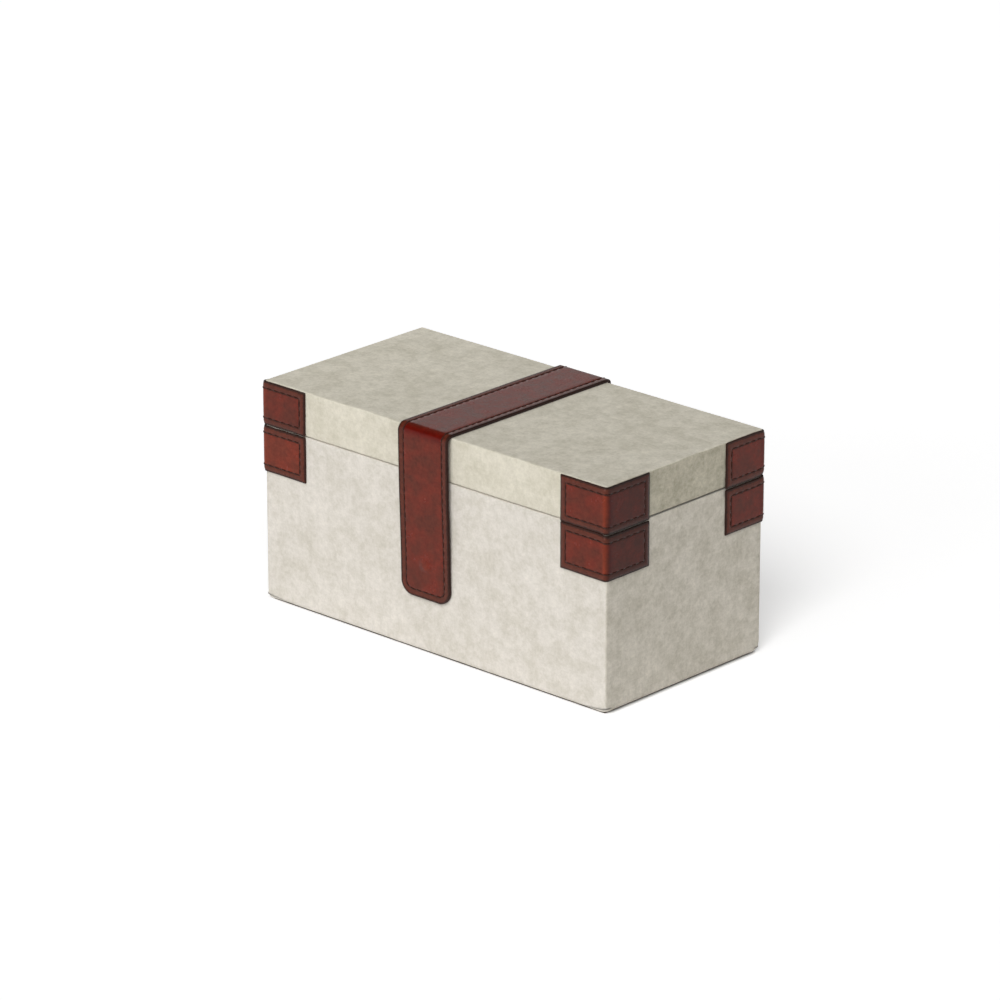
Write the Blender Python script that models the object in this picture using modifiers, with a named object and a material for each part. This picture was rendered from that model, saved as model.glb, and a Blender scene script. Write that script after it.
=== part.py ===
"""A canvas-covered keepsake box with a hinged lid, leather corners and a leather strap.

Metres, +Z up. X runs along the long front, the front faces -Y and the origin is the centre
of the underside, so the box stands on the plane z = 0. Boards carry everything: canvas is
wrapped round them, lined cards stand inside, and leather is fastened outside.
"""
import math

import bmesh
import bpy
from mathutils import Vector

# Outside of the canvas, and where the lid parts from the base
BOX_LENGTH = 0.300
BOX_DEPTH = 0.149
BOX_HEIGHT = 0.153
LID_HEIGHT = 0.0306
SEAM_GAP = 0.0006

# Fits: the gap between pieces that rest on each other, how far a cutter runs past, and
# how close points of one mesh may lie before they become one
CLEARANCE = 0.0003
OVERRUN = 0.004
MERGE = 0.000003

# Boards under the canvas, and how far the base's bottom corners are knocked off
WALL_BOARD = 0.006
FLOOR_BOARD = 0.005
TOP_BOARD = 0.005
CORNER_KNOCK = 0.006

# Canvas, its rounded edges and its turned-in hems
CANVAS = 0.0008
CORNER_ROUND = 0.0016
LID_EDGE_ROUND = 0.0012
RIM_ROUND = 0.0010
FOOT_ROUND = 0.0030
FOOT_CORNER_ROUND = 0.0065
FOOT_CORNER_RISE = 0.0075
TURN_IN = 0.008
TURN_UNDER = 0.012

# Felt under the base
FELT = 0.0009
FELT_INSET = 0.003
FELT_ROUND = 0.0045

# Lined cards inside, which stop a little short of the rims
LINING = 0.0015
LINING_REVEAL = 0.0015
LINING_ROUND = 0.0004

# Leather corners, which wrap the upright edges on both sides of the seam
PATCH_LEG = 0.0380
PATCH_LEATHER = 0.0014
PATCH_HEIGHT = 0.0312
PATCH_TOP_STEP = 0.0002
LID_PATCH_REVEAL = 0.0006
BASE_PATCH_REVEAL = 0.0009
LEATHER_EDGE = 0.00025

# Leather strap, in two layers, with its front drop standing off the canvas
STRAP_WIDTH = 0.0426
STRAP_SHIFT = -0.0034
STRAP_LEATHER = 0.0009
STRAP_BACKING = 0.0008
STRAP_BEND = 0.0037
STRAP_DROP = 0.0030
STRAP_TAIL_REVEAL = 0.0006
FLAP_STAND_OFF_TOP = 0.0029
FLAP_STAND_OFF_END = 0.0006
FLAP_END_HEIGHT = 0.0388
FLAP_END_ROUND = 0.0095

# Magnet in the strap's backing, and the steel disc behind the front canvas
MAGNET_RADIUS = 0.0050
MAGNET_FROM_END = 0.0232
KEEPER_RADIUS = 0.0060
KEEPER_THICKNESS = 0.0012

# Butt hinges let into the rims at the back
HINGE_LENGTH = 0.030
HINGE_FROM_END = 0.060
KNUCKLE_COUNT = 5
KNUCKLE_GAP = 0.0002
LEAF = 0.0008
LEAF_DEPTH = 0.0052
BARREL_RADIUS = 0.0020
PIN_RADIUS = 0.0010
PIN_PLAY = 0.0001

# Countersunk screws, two in each leaf
SCREW_FROM_MIDDLE = 0.009
SCREW_HEAD_RADIUS = 0.0016
SCREW_SHANK_RADIUS = 0.0008
SCREW_LENGTH = 0.006

# Steps round a curve
CORNER_STEPS = 4
EDGE_STEPS = 3
BEND_STEPS = 6
FLAP_STEPS = 12
ROUND_SIDES = 24
DISC_SIDES = 32
SCREW_SIDES = 16
SHARP_ANGLE = math.radians(35)
CHAMFER_ANGLE = math.radians(50)

# Planes and levels that follow from the sizes
HALF_LENGTH = BOX_LENGTH / 2
HALF_DEPTH = BOX_DEPTH / 2
SEAM = BOX_HEIGHT - LID_HEIGHT
BASE_RIM = SEAM - SEAM_GAP / 2
LID_RIM = SEAM + SEAM_GAP / 2
UNDER_CANVAS = CANVAS + CLEARANCE
BOARD_HALF_LENGTH = HALF_LENGTH - UNDER_CANVAS
BOARD_HALF_DEPTH = HALF_DEPTH - UNDER_CANVAS
WALL_HALF_LENGTH = BOARD_HALF_LENGTH - WALL_BOARD
WALL_HALF_DEPTH = BOARD_HALF_DEPTH - WALL_BOARD
RIM_WIDTH = WALL_BOARD + UNDER_CANVAS + UNDER_CANVAS
RIM_SEAT = max(CANVAS, LEAF) + CLEARANCE
CANVAS_FOOT = FELT + CLEARANCE
BOARD_FOOT = CANVAS_FOOT + UNDER_CANVAS
FLOOR_TOP = BOARD_FOOT + FLOOR_BOARD
FLOOR_CARD = FLOOR_TOP + CLEARANCE
CARD_FOOT = FLOOR_CARD + LINING + CLEARANCE
TOP_BOARD_TOP = BOX_HEIGHT - UNDER_CANVAS
TOP_BOARD_FOOT = TOP_BOARD_TOP - TOP_BOARD
RAIL_TOP = TOP_BOARD_FOOT - CLEARANCE
LID_CARD_TOP = TOP_BOARD_FOOT - CLEARANCE
LID_CARD_FOOT = LID_CARD_TOP - LINING
CARD_HALF_LENGTH = HALF_LENGTH - RIM_WIDTH - CLEARANCE
CARD_HALF_DEPTH = HALF_DEPTH - RIM_WIDTH - CLEARANCE

# Joint axes, both parallel to X
HINGE_Y = BOARD_HALF_DEPTH + CLEARANCE + BARREL_RADIUS
HINGE_X = HALF_LENGTH - HINGE_FROM_END
LEAF_BACK = BARREL_RADIUS + CLEARANCE
STRAP_STACK = STRAP_BACKING + CLEARANCE + STRAP_LEATHER
BEND_Z = BOX_HEIGHT + CLEARANCE - STRAP_BEND
BEND_Y = STRAP_BEND - HALF_DEPTH - FLAP_STAND_OFF_TOP
FLAP_TOP = BEND_Z - STRAP_DROP
FLAP_Y = -HALF_DEPTH - FLAP_STAND_OFF_TOP - STRAP_STACK
FLAP_LENGTH = FLAP_TOP - FLAP_END_HEIGHT
LID_AXIS = Vector((0, HINGE_Y, SEAM))
FLAP_AXIS = Vector((STRAP_SHIFT, FLAP_Y, FLAP_TOP))


def clear_scene():
    for old in list(bpy.data.objects):
        bpy.data.objects.remove(old, do_unlink=True)


def collection(name):
    group = bpy.data.collections.new(name)
    bpy.context.scene.collection.children.link(group)
    return group


def linear(channel):
    """Linear value of a display colour channel given from 0 to 1."""
    if channel <= 0.04045:
        return channel / 12.92
    return ((channel + 0.055) / 1.055) ** 2.4


def material(name, colour, roughness, metallic=0.0):
    made = bpy.data.materials.new(name)
    made.use_nodes = True
    shader = made.node_tree.nodes["Principled BSDF"]
    shader.inputs["Base Color"].default_value = [linear(c) for c in colour] + [1.0]
    shader.inputs["Roughness"].default_value = roughness
    shader.inputs["Metallic"].default_value = metallic
    return made


clear_scene()
PARTS = collection("canvas_box")
CUTTERS = collection("cutters")

BOARD_LOOK = material("fibreboard", (0.62, 0.50, 0.36), 0.85)
CANVAS_LOOK = material("canvas", (0.84, 0.81, 0.76), 0.92)
COTTON_LOOK = material("lining_cotton", (0.80, 0.75, 0.66), 0.95)
FELT_LOOK = material("felt", (0.30, 0.26, 0.22), 1.0)
LEATHER_LOOK = material("red_brown_leather", (0.43, 0.21, 0.18), 0.35)
BACKING_LOOK = material("leather_backing", (0.36, 0.20, 0.15), 0.70)
BRASS_LOOK = material("brass", (0.78, 0.62, 0.34), 0.35, 1.0)
STEEL_LOOK = material("steel", (0.70, 0.70, 0.72), 0.30, 1.0)


def body(name, axis, parent=None):
    """Empty that carries the pieces of one moving body, at its joint's axis."""
    holder = bpy.data.objects.new(name, None)
    PARTS.objects.link(holder)
    holder.empty_display_size = WALL_BOARD
    holder.parent = parent
    holder.location = axis - (WORLD_PLACE[parent.name] if parent else Vector())
    WORLD_PLACE[name] = axis
    return holder


WORLD_PLACE = {}
BASE = body("base_body", Vector())
LID = body("lid_body", LID_AXIS, BASE)
FLAP = body("strap_flap_body", FLAP_AXIS, LID)


def put(name, mesh, look, holder, place):
    """Object for one sub-part: mesh in local coordinates, placed under its body's empty."""
    made = bpy.data.objects.new(name, mesh)
    PARTS.objects.link(made)
    made.parent = holder
    made.location = Vector(place) - WORLD_PLACE[holder.name]
    mesh.materials.append(look)
    return made


def put_cutter(name, mesh, place):
    made = bpy.data.objects.new(name, mesh)
    CUTTERS.objects.link(made)
    made.location = Vector(place)
    made.hide_render = True
    made.display_type = 'WIRE'
    return made


def combine(target, tool, operation):
    change = target.modifiers.new(tool.name, 'BOOLEAN')
    change.operation = operation
    change.solver = 'EXACT'
    change.object = tool


def mesh_from(name, bm):
    made = bpy.data.meshes.new(name)
    bm.to_mesh(made)
    bm.free()
    return made


def smooth(mesh):
    mesh.shade_smooth()
    mesh.set_sharp_from_angle(angle=SHARP_ANGLE)


def box_mesh(name, size, round_edges=0.0, chosen=None):
    """Block about its own centre, with its edges, or only the chosen ones, rounded."""
    bm = bmesh.new()
    bmesh.ops.create_cube(bm, size=1.0)
    bmesh.ops.scale(bm, vec=size, verts=bm.verts)
    if round_edges:
        middles = {e: (e.verts[0].co + e.verts[1].co) / 2 for e in bm.edges}
        edges = [e for e in bm.edges if chosen is None or chosen(middles[e])]
        bmesh.ops.bevel(bm, geom=edges, offset=round_edges, segments=EDGE_STEPS,
                        profile=0.5, affect='EDGES')
    return mesh_from(name, bm)


def block(name, low, high, look, holder, round_edges=0.0, chosen=None):
    """Block between two opposite corners given in the box's own frame."""
    low, high = Vector(low), Vector(high)
    mesh = box_mesh(name, high - low, round_edges, chosen)
    return put(name, mesh, look, holder, (low + high) / 2)


def rod_mesh(name, radius, length, axis, sides):
    """Closed cylinder about its own centre, along X, Y or Z."""
    bm = bmesh.new()
    bmesh.ops.create_cone(bm, cap_ends=True, segments=sides, radius1=radius,
                          radius2=radius, depth=length)
    turned = Vector((0, 0, 1)).rotation_difference(Vector(axis))
    bmesh.ops.rotate(bm, cent=(0, 0, 0), matrix=turned.to_matrix(), verts=bm.verts)
    mesh = mesh_from(name, bm)
    smooth(mesh)
    return mesh


def arc(centre, radius, start, end, steps):
    """Points round a centre, from one angle in degrees to another, ends included."""
    points = []
    for step in range(steps + 1):
        turn = math.radians(start + (end - start) * step / steps)
        across = centre[0] + radius * math.cos(turn)
        up = centre[1] + radius * math.sin(turn)
        points.append((across, up))
    return points


# Boards


def knock_off_corner(board, side_x, side_y):
    """Cuts a board's bottom corner off aslant, where the canvas folds round it."""
    out = Vector((side_x, side_y, -1)).normalized()
    corner = Vector((side_x * BOARD_HALF_LENGTH, side_y * BOARD_HALF_DEPTH, BOARD_FOOT))
    size = CORNER_KNOCK * 3
    cut = corner - out * CORNER_KNOCK / math.sqrt(3)
    name = board.name + ("_left_cut" if side_x < 0 else "_right_cut")
    cutter = put_cutter(name, box_mesh(name, (size, size, size)), cut + out * size / 2)
    cutter.rotation_mode = 'QUATERNION'
    cutter.rotation_quaternion = Vector((0, 0, 1)).rotation_difference(out)
    combine(board, cutter, 'DIFFERENCE')


def base_boards():
    """Front and back boards run the full length, and the others stand between them."""
    top = BASE_RIM - RIM_SEAT
    foot_round = FOOT_ROUND - UNDER_CANVAS
    for name, side in (("base_front_board", -1), ("base_back_board", 1)):
        near, far = sorted((side * WALL_HALF_DEPTH, side * BOARD_HALF_DEPTH))
        board = block(name, (-BOARD_HALF_LENGTH, near, BOARD_FOOT),
                      (BOARD_HALF_LENGTH, far, top), BOARD_LOOK, BASE, foot_round,
                      lambda middle, side=side: middle.z < 0
                      and (middle.y * side > 0 or middle.x != 0))
        for end in (-1, 1):
            knock_off_corner(board, end, side)
    for name, side in (("base_left_board", -1), ("base_right_board", 1)):
        near, far = sorted((side * WALL_HALF_LENGTH, side * BOARD_HALF_LENGTH))
        deep = WALL_HALF_DEPTH - CLEARANCE
        block(name, (near, -deep, BOARD_FOOT), (far, deep, top), BOARD_LOOK, BASE, foot_round,
              lambda middle, side=side: middle.z < 0 and middle.x * side > 0)
    wide = WALL_HALF_LENGTH - CLEARANCE
    deep = WALL_HALF_DEPTH - CLEARANCE
    block("base_bottom_board", (-wide, -deep, BOARD_FOOT), (wide, deep, FLOOR_TOP),
          BOARD_LOOK, BASE)


def lid_boards():
    """One board covers the lid, on four rails that stand on their edges below it."""
    foot = LID_RIM + RIM_SEAT
    block("lid_top_board", (-BOARD_HALF_LENGTH, -BOARD_HALF_DEPTH, TOP_BOARD_FOOT),
          (BOARD_HALF_LENGTH, BOARD_HALF_DEPTH, TOP_BOARD_TOP), BOARD_LOOK, LID)
    for name, side in (("lid_front_rail", -1), ("lid_back_rail", 1)):
        near, far = sorted((side * WALL_HALF_DEPTH, side * BOARD_HALF_DEPTH))
        block(name, (-BOARD_HALF_LENGTH, near, foot), (BOARD_HALF_LENGTH, far, RAIL_TOP),
              BOARD_LOOK, LID)
    for name, side in (("lid_left_rail", -1), ("lid_right_rail", 1)):
        near, far = sorted((side * WALL_HALF_LENGTH, side * BOARD_HALF_LENGTH))
        deep = WALL_HALF_DEPTH - CLEARANCE
        block(name, (near, -deep, foot), (far, deep, RAIL_TOP), BOARD_LOOK, LID)


# Lining


def lining_cards(prefix, holder, foot, top):
    """Four cards that stand inside the turned-in canvas, the long ones end to end."""
    wide, deep = CARD_HALF_LENGTH, CARD_HALF_DEPTH
    for name, side in (("front", -1), ("back", 1)):
        near, far = sorted((side * (deep - LINING), side * deep))
        block(prefix + name, (-wide, near, foot), (wide, far, top), COTTON_LOOK, holder,
              LINING_ROUND)
    short = deep - LINING - CLEARANCE
    for name, side in (("left", -1), ("right", 1)):
        near, far = sorted((side * (wide - LINING), side * wide))
        block(prefix + name, (near, -short, foot), (far, short, top), COTTON_LOOK, holder,
              LINING_ROUND)


def linings():
    wide = WALL_HALF_LENGTH - CLEARANCE
    deep = WALL_HALF_DEPTH - CLEARANCE
    block("base_lining_floor", (-wide, -deep, FLOOR_CARD), (wide, deep, FLOOR_CARD + LINING),
          COTTON_LOOK, BASE, LINING_ROUND)
    lining_cards("base_lining_", BASE, CARD_FOOT, BASE_RIM - LINING_REVEAL)
    block("lid_lining_top", (-wide, -deep, LID_CARD_FOOT), (wide, deep, LID_CARD_TOP),
          COTTON_LOOK, LID, LINING_ROUND)
    lining_cards("lid_lining_", LID, LID_RIM + LINING_REVEAL, LID_CARD_FOOT - CLEARANCE)


# Canvas covers


def corner_round(height):
    """Radius of the canvas's upright edges: it grows towards the foot, where it is folded."""
    share = max(0.0, 1 - (height - CANVAS_FOOT) / FOOT_CORNER_RISE)
    return CORNER_ROUND + (FOOT_CORNER_ROUND - CORNER_ROUND) * share ** 2


def ring_points(inset, height):
    """Rounded rectangle that lies the given distance inside the canvas's outline."""
    radius = max(corner_round(height) - inset, CANVAS)
    centre_x = HALF_LENGTH - inset - radius
    centre_y = HALF_DEPTH - inset - radius
    points = []
    for side_x, side_y, start in ((1, 1, 0), (-1, 1, 90), (-1, -1, 180), (1, -1, 270)):
        centre = (side_x * centre_x, side_y * centre_y)
        points += arc(centre, radius, start, start + 90, CORNER_STEPS)
    return points


def wrapped_canvas(name, profile, closed, holder, floor):
    """Canvas laid over a profile of (inset, height) points that runs down the outside."""
    bm = bmesh.new()
    rings = []
    for inset, height in profile:
        rings.append([bm.verts.new((x, y, height - floor)) for x, y in ring_points(inset, height)])
    for upper, lower in zip(rings, rings[1:]):
        for index in range(len(upper)):
            after = (index + 1) % len(upper)
            bm.faces.new((upper[index], lower[index], lower[after], upper[after]))
    if closed:
        bm.faces.new(rings[0])
    made = put(name, mesh_from(name, bm), CANVAS_LOOK, holder, (0, 0, floor))
    skin = made.modifiers.new("cloth", 'SOLIDIFY')
    skin.thickness = CANVAS
    skin.offset = -1
    skin.use_even_offset = True
    return made


def base_cover():
    """Over the rim from inside, down the walls, round the foot and in under the base."""
    inside = RIM_WIDTH - RIM_ROUND
    profile = [(RIM_WIDTH, BASE_RIM - TURN_IN)]
    profile += arc((inside, BASE_RIM - RIM_ROUND), RIM_ROUND, 0, 90, EDGE_STEPS)
    profile += arc((RIM_ROUND, BASE_RIM - RIM_ROUND), RIM_ROUND, 90, 180, EDGE_STEPS)
    upright = FOOT_CORNER_RISE - FOOT_ROUND
    for step in range(EDGE_STEPS):
        profile.append((0, CANVAS_FOOT + FOOT_CORNER_RISE - upright * step / EDGE_STEPS))
    profile += arc((FOOT_ROUND, CANVAS_FOOT + FOOT_ROUND), FOOT_ROUND, 180, 270, BEND_STEPS)
    profile.append((TURN_UNDER, CANVAS_FOOT))
    return wrapped_canvas("base_canvas_cover", profile, False, BASE, CANVAS_FOOT)


def lid_cover():
    """Over the top, down the sides, round the rim and up inside."""
    inside = RIM_WIDTH - RIM_ROUND
    round_top = (LID_EDGE_ROUND, BOX_HEIGHT - LID_EDGE_ROUND)
    profile = arc(round_top, LID_EDGE_ROUND, 90, 180, EDGE_STEPS)
    profile += arc((RIM_ROUND, LID_RIM + RIM_ROUND), RIM_ROUND, 180, 270, EDGE_STEPS)
    profile += arc((inside, LID_RIM + RIM_ROUND), RIM_ROUND, 270, 360, EDGE_STEPS)
    profile.append((RIM_WIDTH, LID_RIM + TURN_IN))
    return wrapped_canvas("lid_canvas_cover", profile, True, LID, LID_RIM)


def underside_felt():
    wide = HALF_LENGTH - FELT_INSET
    deep = HALF_DEPTH - FELT_INSET
    block("underside_felt", (-wide, -deep, 0), (wide, deep, FELT), FELT_LOOK, BASE,
          FELT_ROUND, lambda middle: middle.x != 0 and middle.y != 0)


# Leather


def leather_sheet(name, rows, thickness, look, holder, place):
    """Sheet from rows of points, its outer face on them and its edges lightly chamfered."""
    bm = bmesh.new()
    lines = [[bm.verts.new(point) for point in row] for row in rows]
    for first, second in zip(lines, lines[1:]):
        for index in range(len(first) - 1):
            bm.faces.new((first[index], second[index], second[index + 1], first[index + 1]))
    made = put(name, mesh_from(name, bm), look, holder, place)
    hide = made.modifiers.new("hide", 'SOLIDIFY')
    hide.thickness = thickness
    hide.offset = -1
    hide.use_even_offset = True
    edge = made.modifiers.new("edge", 'BEVEL')
    edge.width = LEATHER_EDGE
    edge.segments = 1
    edge.limit_method = 'ANGLE'
    edge.angle_limit = CHAMFER_ANGLE
    return made


def corner_patch(name, holder, turn, low, high):
    """Leather round one upright edge: a quarter turn about Z takes it to each corner."""
    stand_off = CLEARANCE + PATCH_LEATHER
    radius = CORNER_ROUND + stand_off
    path = [(-PATCH_LEG, stand_off)]
    path += arc((-CORNER_ROUND, -CORNER_ROUND), radius, 90, 0, BEND_STEPS)
    path.append((stand_off, -PATCH_LEG))
    rows = [[(x, y, high - low) for x, y in path], [(x, y, 0) for x, y in path]]
    side_x = 1 if turn in (0, 3) else -1
    side_y = 1 if turn in (0, 1) else -1
    made = leather_sheet(name, [list(reversed(row)) for row in rows], PATCH_LEATHER,
                         LEATHER_LOOK, holder,
                         (side_x * HALF_LENGTH, side_y * HALF_DEPTH, low))
    made.rotation_euler.z = turn * math.pi / 2
    return made


def corner_patches():
    corners = ("back_right", "back_left", "front_left", "front_right")
    lid_low = SEAM + LID_PATCH_REVEAL
    lid_high = BOX_HEIGHT - PATCH_TOP_STEP
    base_high = SEAM - BASE_PATCH_REVEAL
    for turn, corner in enumerate(corners):
        corner_patch("lid_corner_" + corner, LID, turn, lid_low, lid_high)
        corner_patch("base_corner_" + corner, BASE, turn, base_high - PATCH_HEIGHT, base_high)


def flap_stand_off(drop):
    """Gap between canvas and flap: it eases in from the bend to the flap's end."""
    share = drop / FLAP_LENGTH
    sweep = (1 + math.cos(math.pi * share)) / 2
    return FLAP_STAND_OFF_END + (FLAP_STAND_OFF_TOP - FLAP_STAND_OFF_END) * sweep


def flap_slope(drop):
    """How fast that gap closes, as a rise over a run, going down the flap."""
    share = drop / FLAP_LENGTH
    reach = FLAP_STAND_OFF_TOP - FLAP_STAND_OFF_END
    return reach * math.pi * math.sin(math.pi * share) / (2 * FLAP_LENGTH)


def lid_strap_path(level):
    """Side view of the strap's lid part, its outer face at a level over its inner one."""
    height = CLEARANCE + level
    back = HALF_DEPTH + height
    path = [(back, SEAM + STRAP_TAIL_REVEAL)]
    path += arc((HALF_DEPTH - LID_EDGE_ROUND, BOX_HEIGHT - LID_EDGE_ROUND),
                LID_EDGE_ROUND + height, 0, 90, BEND_STEPS)
    path += arc((BEND_Y, BEND_Z), STRAP_BEND + level, 90, 180, BEND_STEPS)
    path.append((BEND_Y - STRAP_BEND - level, FLAP_TOP + CLEARANCE))
    return path


def lid_strap(name, level, thickness, look):
    rows = []
    for y, z in lid_strap_path(level):
        rows.append([(-STRAP_WIDTH / 2, y, z - BOX_HEIGHT), (STRAP_WIDTH / 2, y, z - BOX_HEIGHT)])
    return leather_sheet(name, rows, thickness, look, LID, (STRAP_SHIFT, 0, BOX_HEIGHT))


def flap_rows():
    """Drops below the flap's top edge with the flap's half width there, round at the end."""
    straight = FLAP_LENGTH - FLAP_END_ROUND
    half = STRAP_WIDTH / 2
    rows = [(straight * step / FLAP_STEPS, half) for step in range(FLAP_STEPS)]
    for width, depth in arc((half - FLAP_END_ROUND, 0), FLAP_END_ROUND, 0, 90, BEND_STEPS):
        rows.append((straight + depth, width))
    return rows


def flap_layer(name, level, thickness, look):
    rows = []
    for drop, half in flap_rows():
        y = -HALF_DEPTH - flap_stand_off(drop) - level - FLAP_AXIS.y
        rows.append([(-half, y, -drop), (half, y, -drop)])
    return leather_sheet(name, rows, thickness, look, FLAP, FLAP_AXIS)


def strap():
    lid_strap("strap_over_lid", STRAP_STACK, STRAP_LEATHER, LEATHER_LOOK)
    lid_strap("strap_lid_backing", STRAP_BACKING, STRAP_BACKING, BACKING_LOOK)
    flap_layer("strap_flap", STRAP_STACK, STRAP_LEATHER, LEATHER_LOOK)
    backing = flap_layer("strap_flap_backing", STRAP_BACKING, STRAP_BACKING, BACKING_LOOK)
    magnet(backing)


def magnet(backing):
    """Flat magnet set in a round hole of the backing, square to the leather there."""
    drop = FLAP_LENGTH - MAGNET_FROM_END
    out = HALF_DEPTH + flap_stand_off(drop) + STRAP_BACKING / 2
    place = (STRAP_SHIFT, -out, FLAP_TOP - drop)
    tilt = -math.atan(flap_slope(drop))
    disc = rod_mesh("strap_magnet", MAGNET_RADIUS, STRAP_BACKING, (0, 1, 0), DISC_SIDES)
    made = put("strap_magnet", disc, STEEL_LOOK, FLAP, place)
    made.rotation_euler.x = tilt
    hole = rod_mesh("magnet_hole", MAGNET_RADIUS + CLEARANCE, STRAP_BACKING + OVERRUN,
                    (0, 1, 0), DISC_SIDES)
    cutter = put_cutter("magnet_hole", hole, place)
    cutter.rotation_euler.x = tilt
    combine(backing, cutter, 'DIFFERENCE')


def keeper():
    """Steel disc let into the front board's outer face, behind the strap's magnet."""
    height = FLAP_END_HEIGHT + MAGNET_FROM_END
    disc = rod_mesh("base_keeper", KEEPER_RADIUS, KEEPER_THICKNESS, (0, 1, 0), DISC_SIDES)
    put("base_keeper", disc, STEEL_LOOK, BASE,
        (STRAP_SHIFT, KEEPER_THICKNESS / 2 - BOARD_HALF_DEPTH, height))
    depth = KEEPER_THICKNESS + CLEARANCE
    pocket = rod_mesh("keeper_pocket", KEEPER_RADIUS + CLEARANCE, depth + OVERRUN,
                      (0, 1, 0), DISC_SIDES)
    middle = depth - BOARD_HALF_DEPTH - (depth + OVERRUN) / 2
    cutter = put_cutter("keeper_pocket", pocket, (STRAP_SHIFT, middle, height))
    combine(PARTS.objects["base_front_board"], cutter, 'DIFFERENCE')


# Hinges


def knuckle_spans(own):
    """Start and end along the hinge of each knuckle that one leaf carries."""
    pitch = HINGE_LENGTH / KNUCKLE_COUNT
    spans = []
    for index in range(KNUCKLE_COUNT):
        if index % 2 == own:
            start = index * pitch - HINGE_LENGTH / 2
            spans.append((start + KNUCKLE_GAP / 2, start + pitch - KNUCKLE_GAP / 2))
    return spans


def leaf_plate(name, own):
    """Leaf as a flat outline with a tab for each knuckle, running in to the axis."""
    half = HINGE_LENGTH / 2
    outline = [(-half, -LEAF_BACK - LEAF_DEPTH), (half, -LEAF_BACK - LEAF_DEPTH)]
    outline.append((half, -LEAF_BACK))
    for start, end in reversed(knuckle_spans(own)):
        start, end = start + CLEARANCE, end - CLEARANCE
        outline += [(end, -LEAF_BACK), (end, 0), (start, 0), (start, -LEAF_BACK)]
    outline.append((-half, -LEAF_BACK))
    curve = bpy.data.curves.new(name, 'CURVE')
    curve.dimensions = '2D'
    curve.fill_mode = 'BOTH'
    curve.extrude = LEAF / 2
    spline = curve.splines.new('POLY')
    spline.points.add(len(outline) - 1)
    for point, (x, y) in zip(spline.points, outline):
        point.co = (x, y, 0, 1)
    spline.use_cyclic_u = True
    guide = bpy.data.objects.new(name, curve)
    CUTTERS.objects.link(guide)
    filled = guide.evaluated_get(bpy.context.evaluated_depsgraph_get())
    mesh = bpy.data.meshes.new_from_object(filled)
    bpy.data.objects.remove(guide)
    bm = bmesh.new()
    bm.from_mesh(mesh)
    bmesh.ops.remove_doubles(bm, verts=bm.verts, dist=MERGE)
    bmesh.ops.translate(bm, vec=(0, 0, -(SEAM_GAP + LEAF) / 2), verts=bm.verts)
    return mesh_from(name, bm)


def knuckles(name, own):
    """Short tubes' outsides, one to each tab, as one cutter mesh about the axis."""
    bm = bmesh.new()
    for start, end in knuckle_spans(own):
        made = bmesh.ops.create_cone(bm, cap_ends=True, segments=ROUND_SIDES,
                                     radius1=BARREL_RADIUS, radius2=BARREL_RADIUS,
                                     depth=end - start)
        turned = Vector((0, 0, 1)).rotation_difference(Vector((1, 0, 0)))
        bmesh.ops.rotate(bm, cent=(0, 0, 0), matrix=turned.to_matrix(), verts=made["verts"])
        bmesh.ops.translate(bm, vec=((start + end) / 2, 0, 0), verts=made["verts"])
    mesh = mesh_from(name, bm)
    smooth(mesh)
    return mesh


def turned_mesh(name, profile):
    """Open profile of (radius, height) points that runs from the top to the foot."""
    bm = bmesh.new()
    points = [bm.verts.new((radius, 0, height)) for radius, height in profile]
    for first, second in zip(points, points[1:]):
        bm.edges.new((first, second))
    return mesh_from(name, bm)


def turn_profile(made):
    lathe = made.modifiers.new("lathe", 'SCREW')
    lathe.axis = 'Z'
    lathe.steps = SCREW_SIDES
    lathe.render_steps = SCREW_SIDES
    lathe.use_merge_vertices = True
    lathe.merge_threshold = MERGE
    lathe.use_smooth_shade = False


def screw_profile(gap, rise):
    """Countersunk head level with the leaf, and a shank, all wider by the gap."""
    head = SCREW_HEAD_RADIUS + gap
    shank = SCREW_SHANK_RADIUS + gap
    foot = -SCREW_LENGTH - gap
    profile = [(0, rise), (head, rise)]
    if rise:
        profile.append((head, 0))
    profile += [(shank, -LEAF), (shank, foot), (0, foot)]
    return profile


def leaf_screw(name, holder, place, flip, targets):
    """Screw through a leaf into its board, with the hole that takes it in both."""
    made = put(name, turned_mesh(name, screw_profile(0, 0)), BRASS_LOOK, holder, place)
    turn_profile(made)
    hole = put_cutter(name + "_hole", turned_mesh(name + "_hole",
                      screw_profile(CLEARANCE, SEAM_GAP / 2)), place)
    turn_profile(hole)
    for item in (made, hole):
        item.rotation_euler.x = math.pi if flip else 0
    for target in targets:
        combine(target, hole, 'DIFFERENCE')


def hinge_leaf(name, holder, place, flip, board):
    """One leaf, its knuckles bored for the pin, screwed to the edge of its board."""
    own = 1 if flip else 0
    made = put(name, leaf_plate(name, own), BRASS_LOOK, holder, place)
    tubes = put_cutter(name + "_knuckles", knuckles(name + "_knuckles", own), place)
    bore = put_cutter(name + "_bore",
                      rod_mesh(name + "_bore", PIN_RADIUS + PIN_PLAY,
                               HINGE_LENGTH + OVERRUN, (1, 0, 0), ROUND_SIDES), place)
    for item in (made, tubes):
        item.rotation_euler.y = math.pi if flip else 0
    combine(made, tubes, 'UNION')
    combine(made, bore, 'DIFFERENCE')
    side = 1 if flip else -1
    for end, label in ((-1, "left"), (1, "right")):
        screw_place = (place[0] + end * SCREW_FROM_MIDDLE,
                       place[1] - LEAF_BACK - LEAF_DEPTH / 2,
                       place[2] + side * SEAM_GAP / 2)
        leaf_screw(name.replace("leaf", "screw") + "_" + label, holder, screw_place, flip,
                   (made, board))


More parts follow.
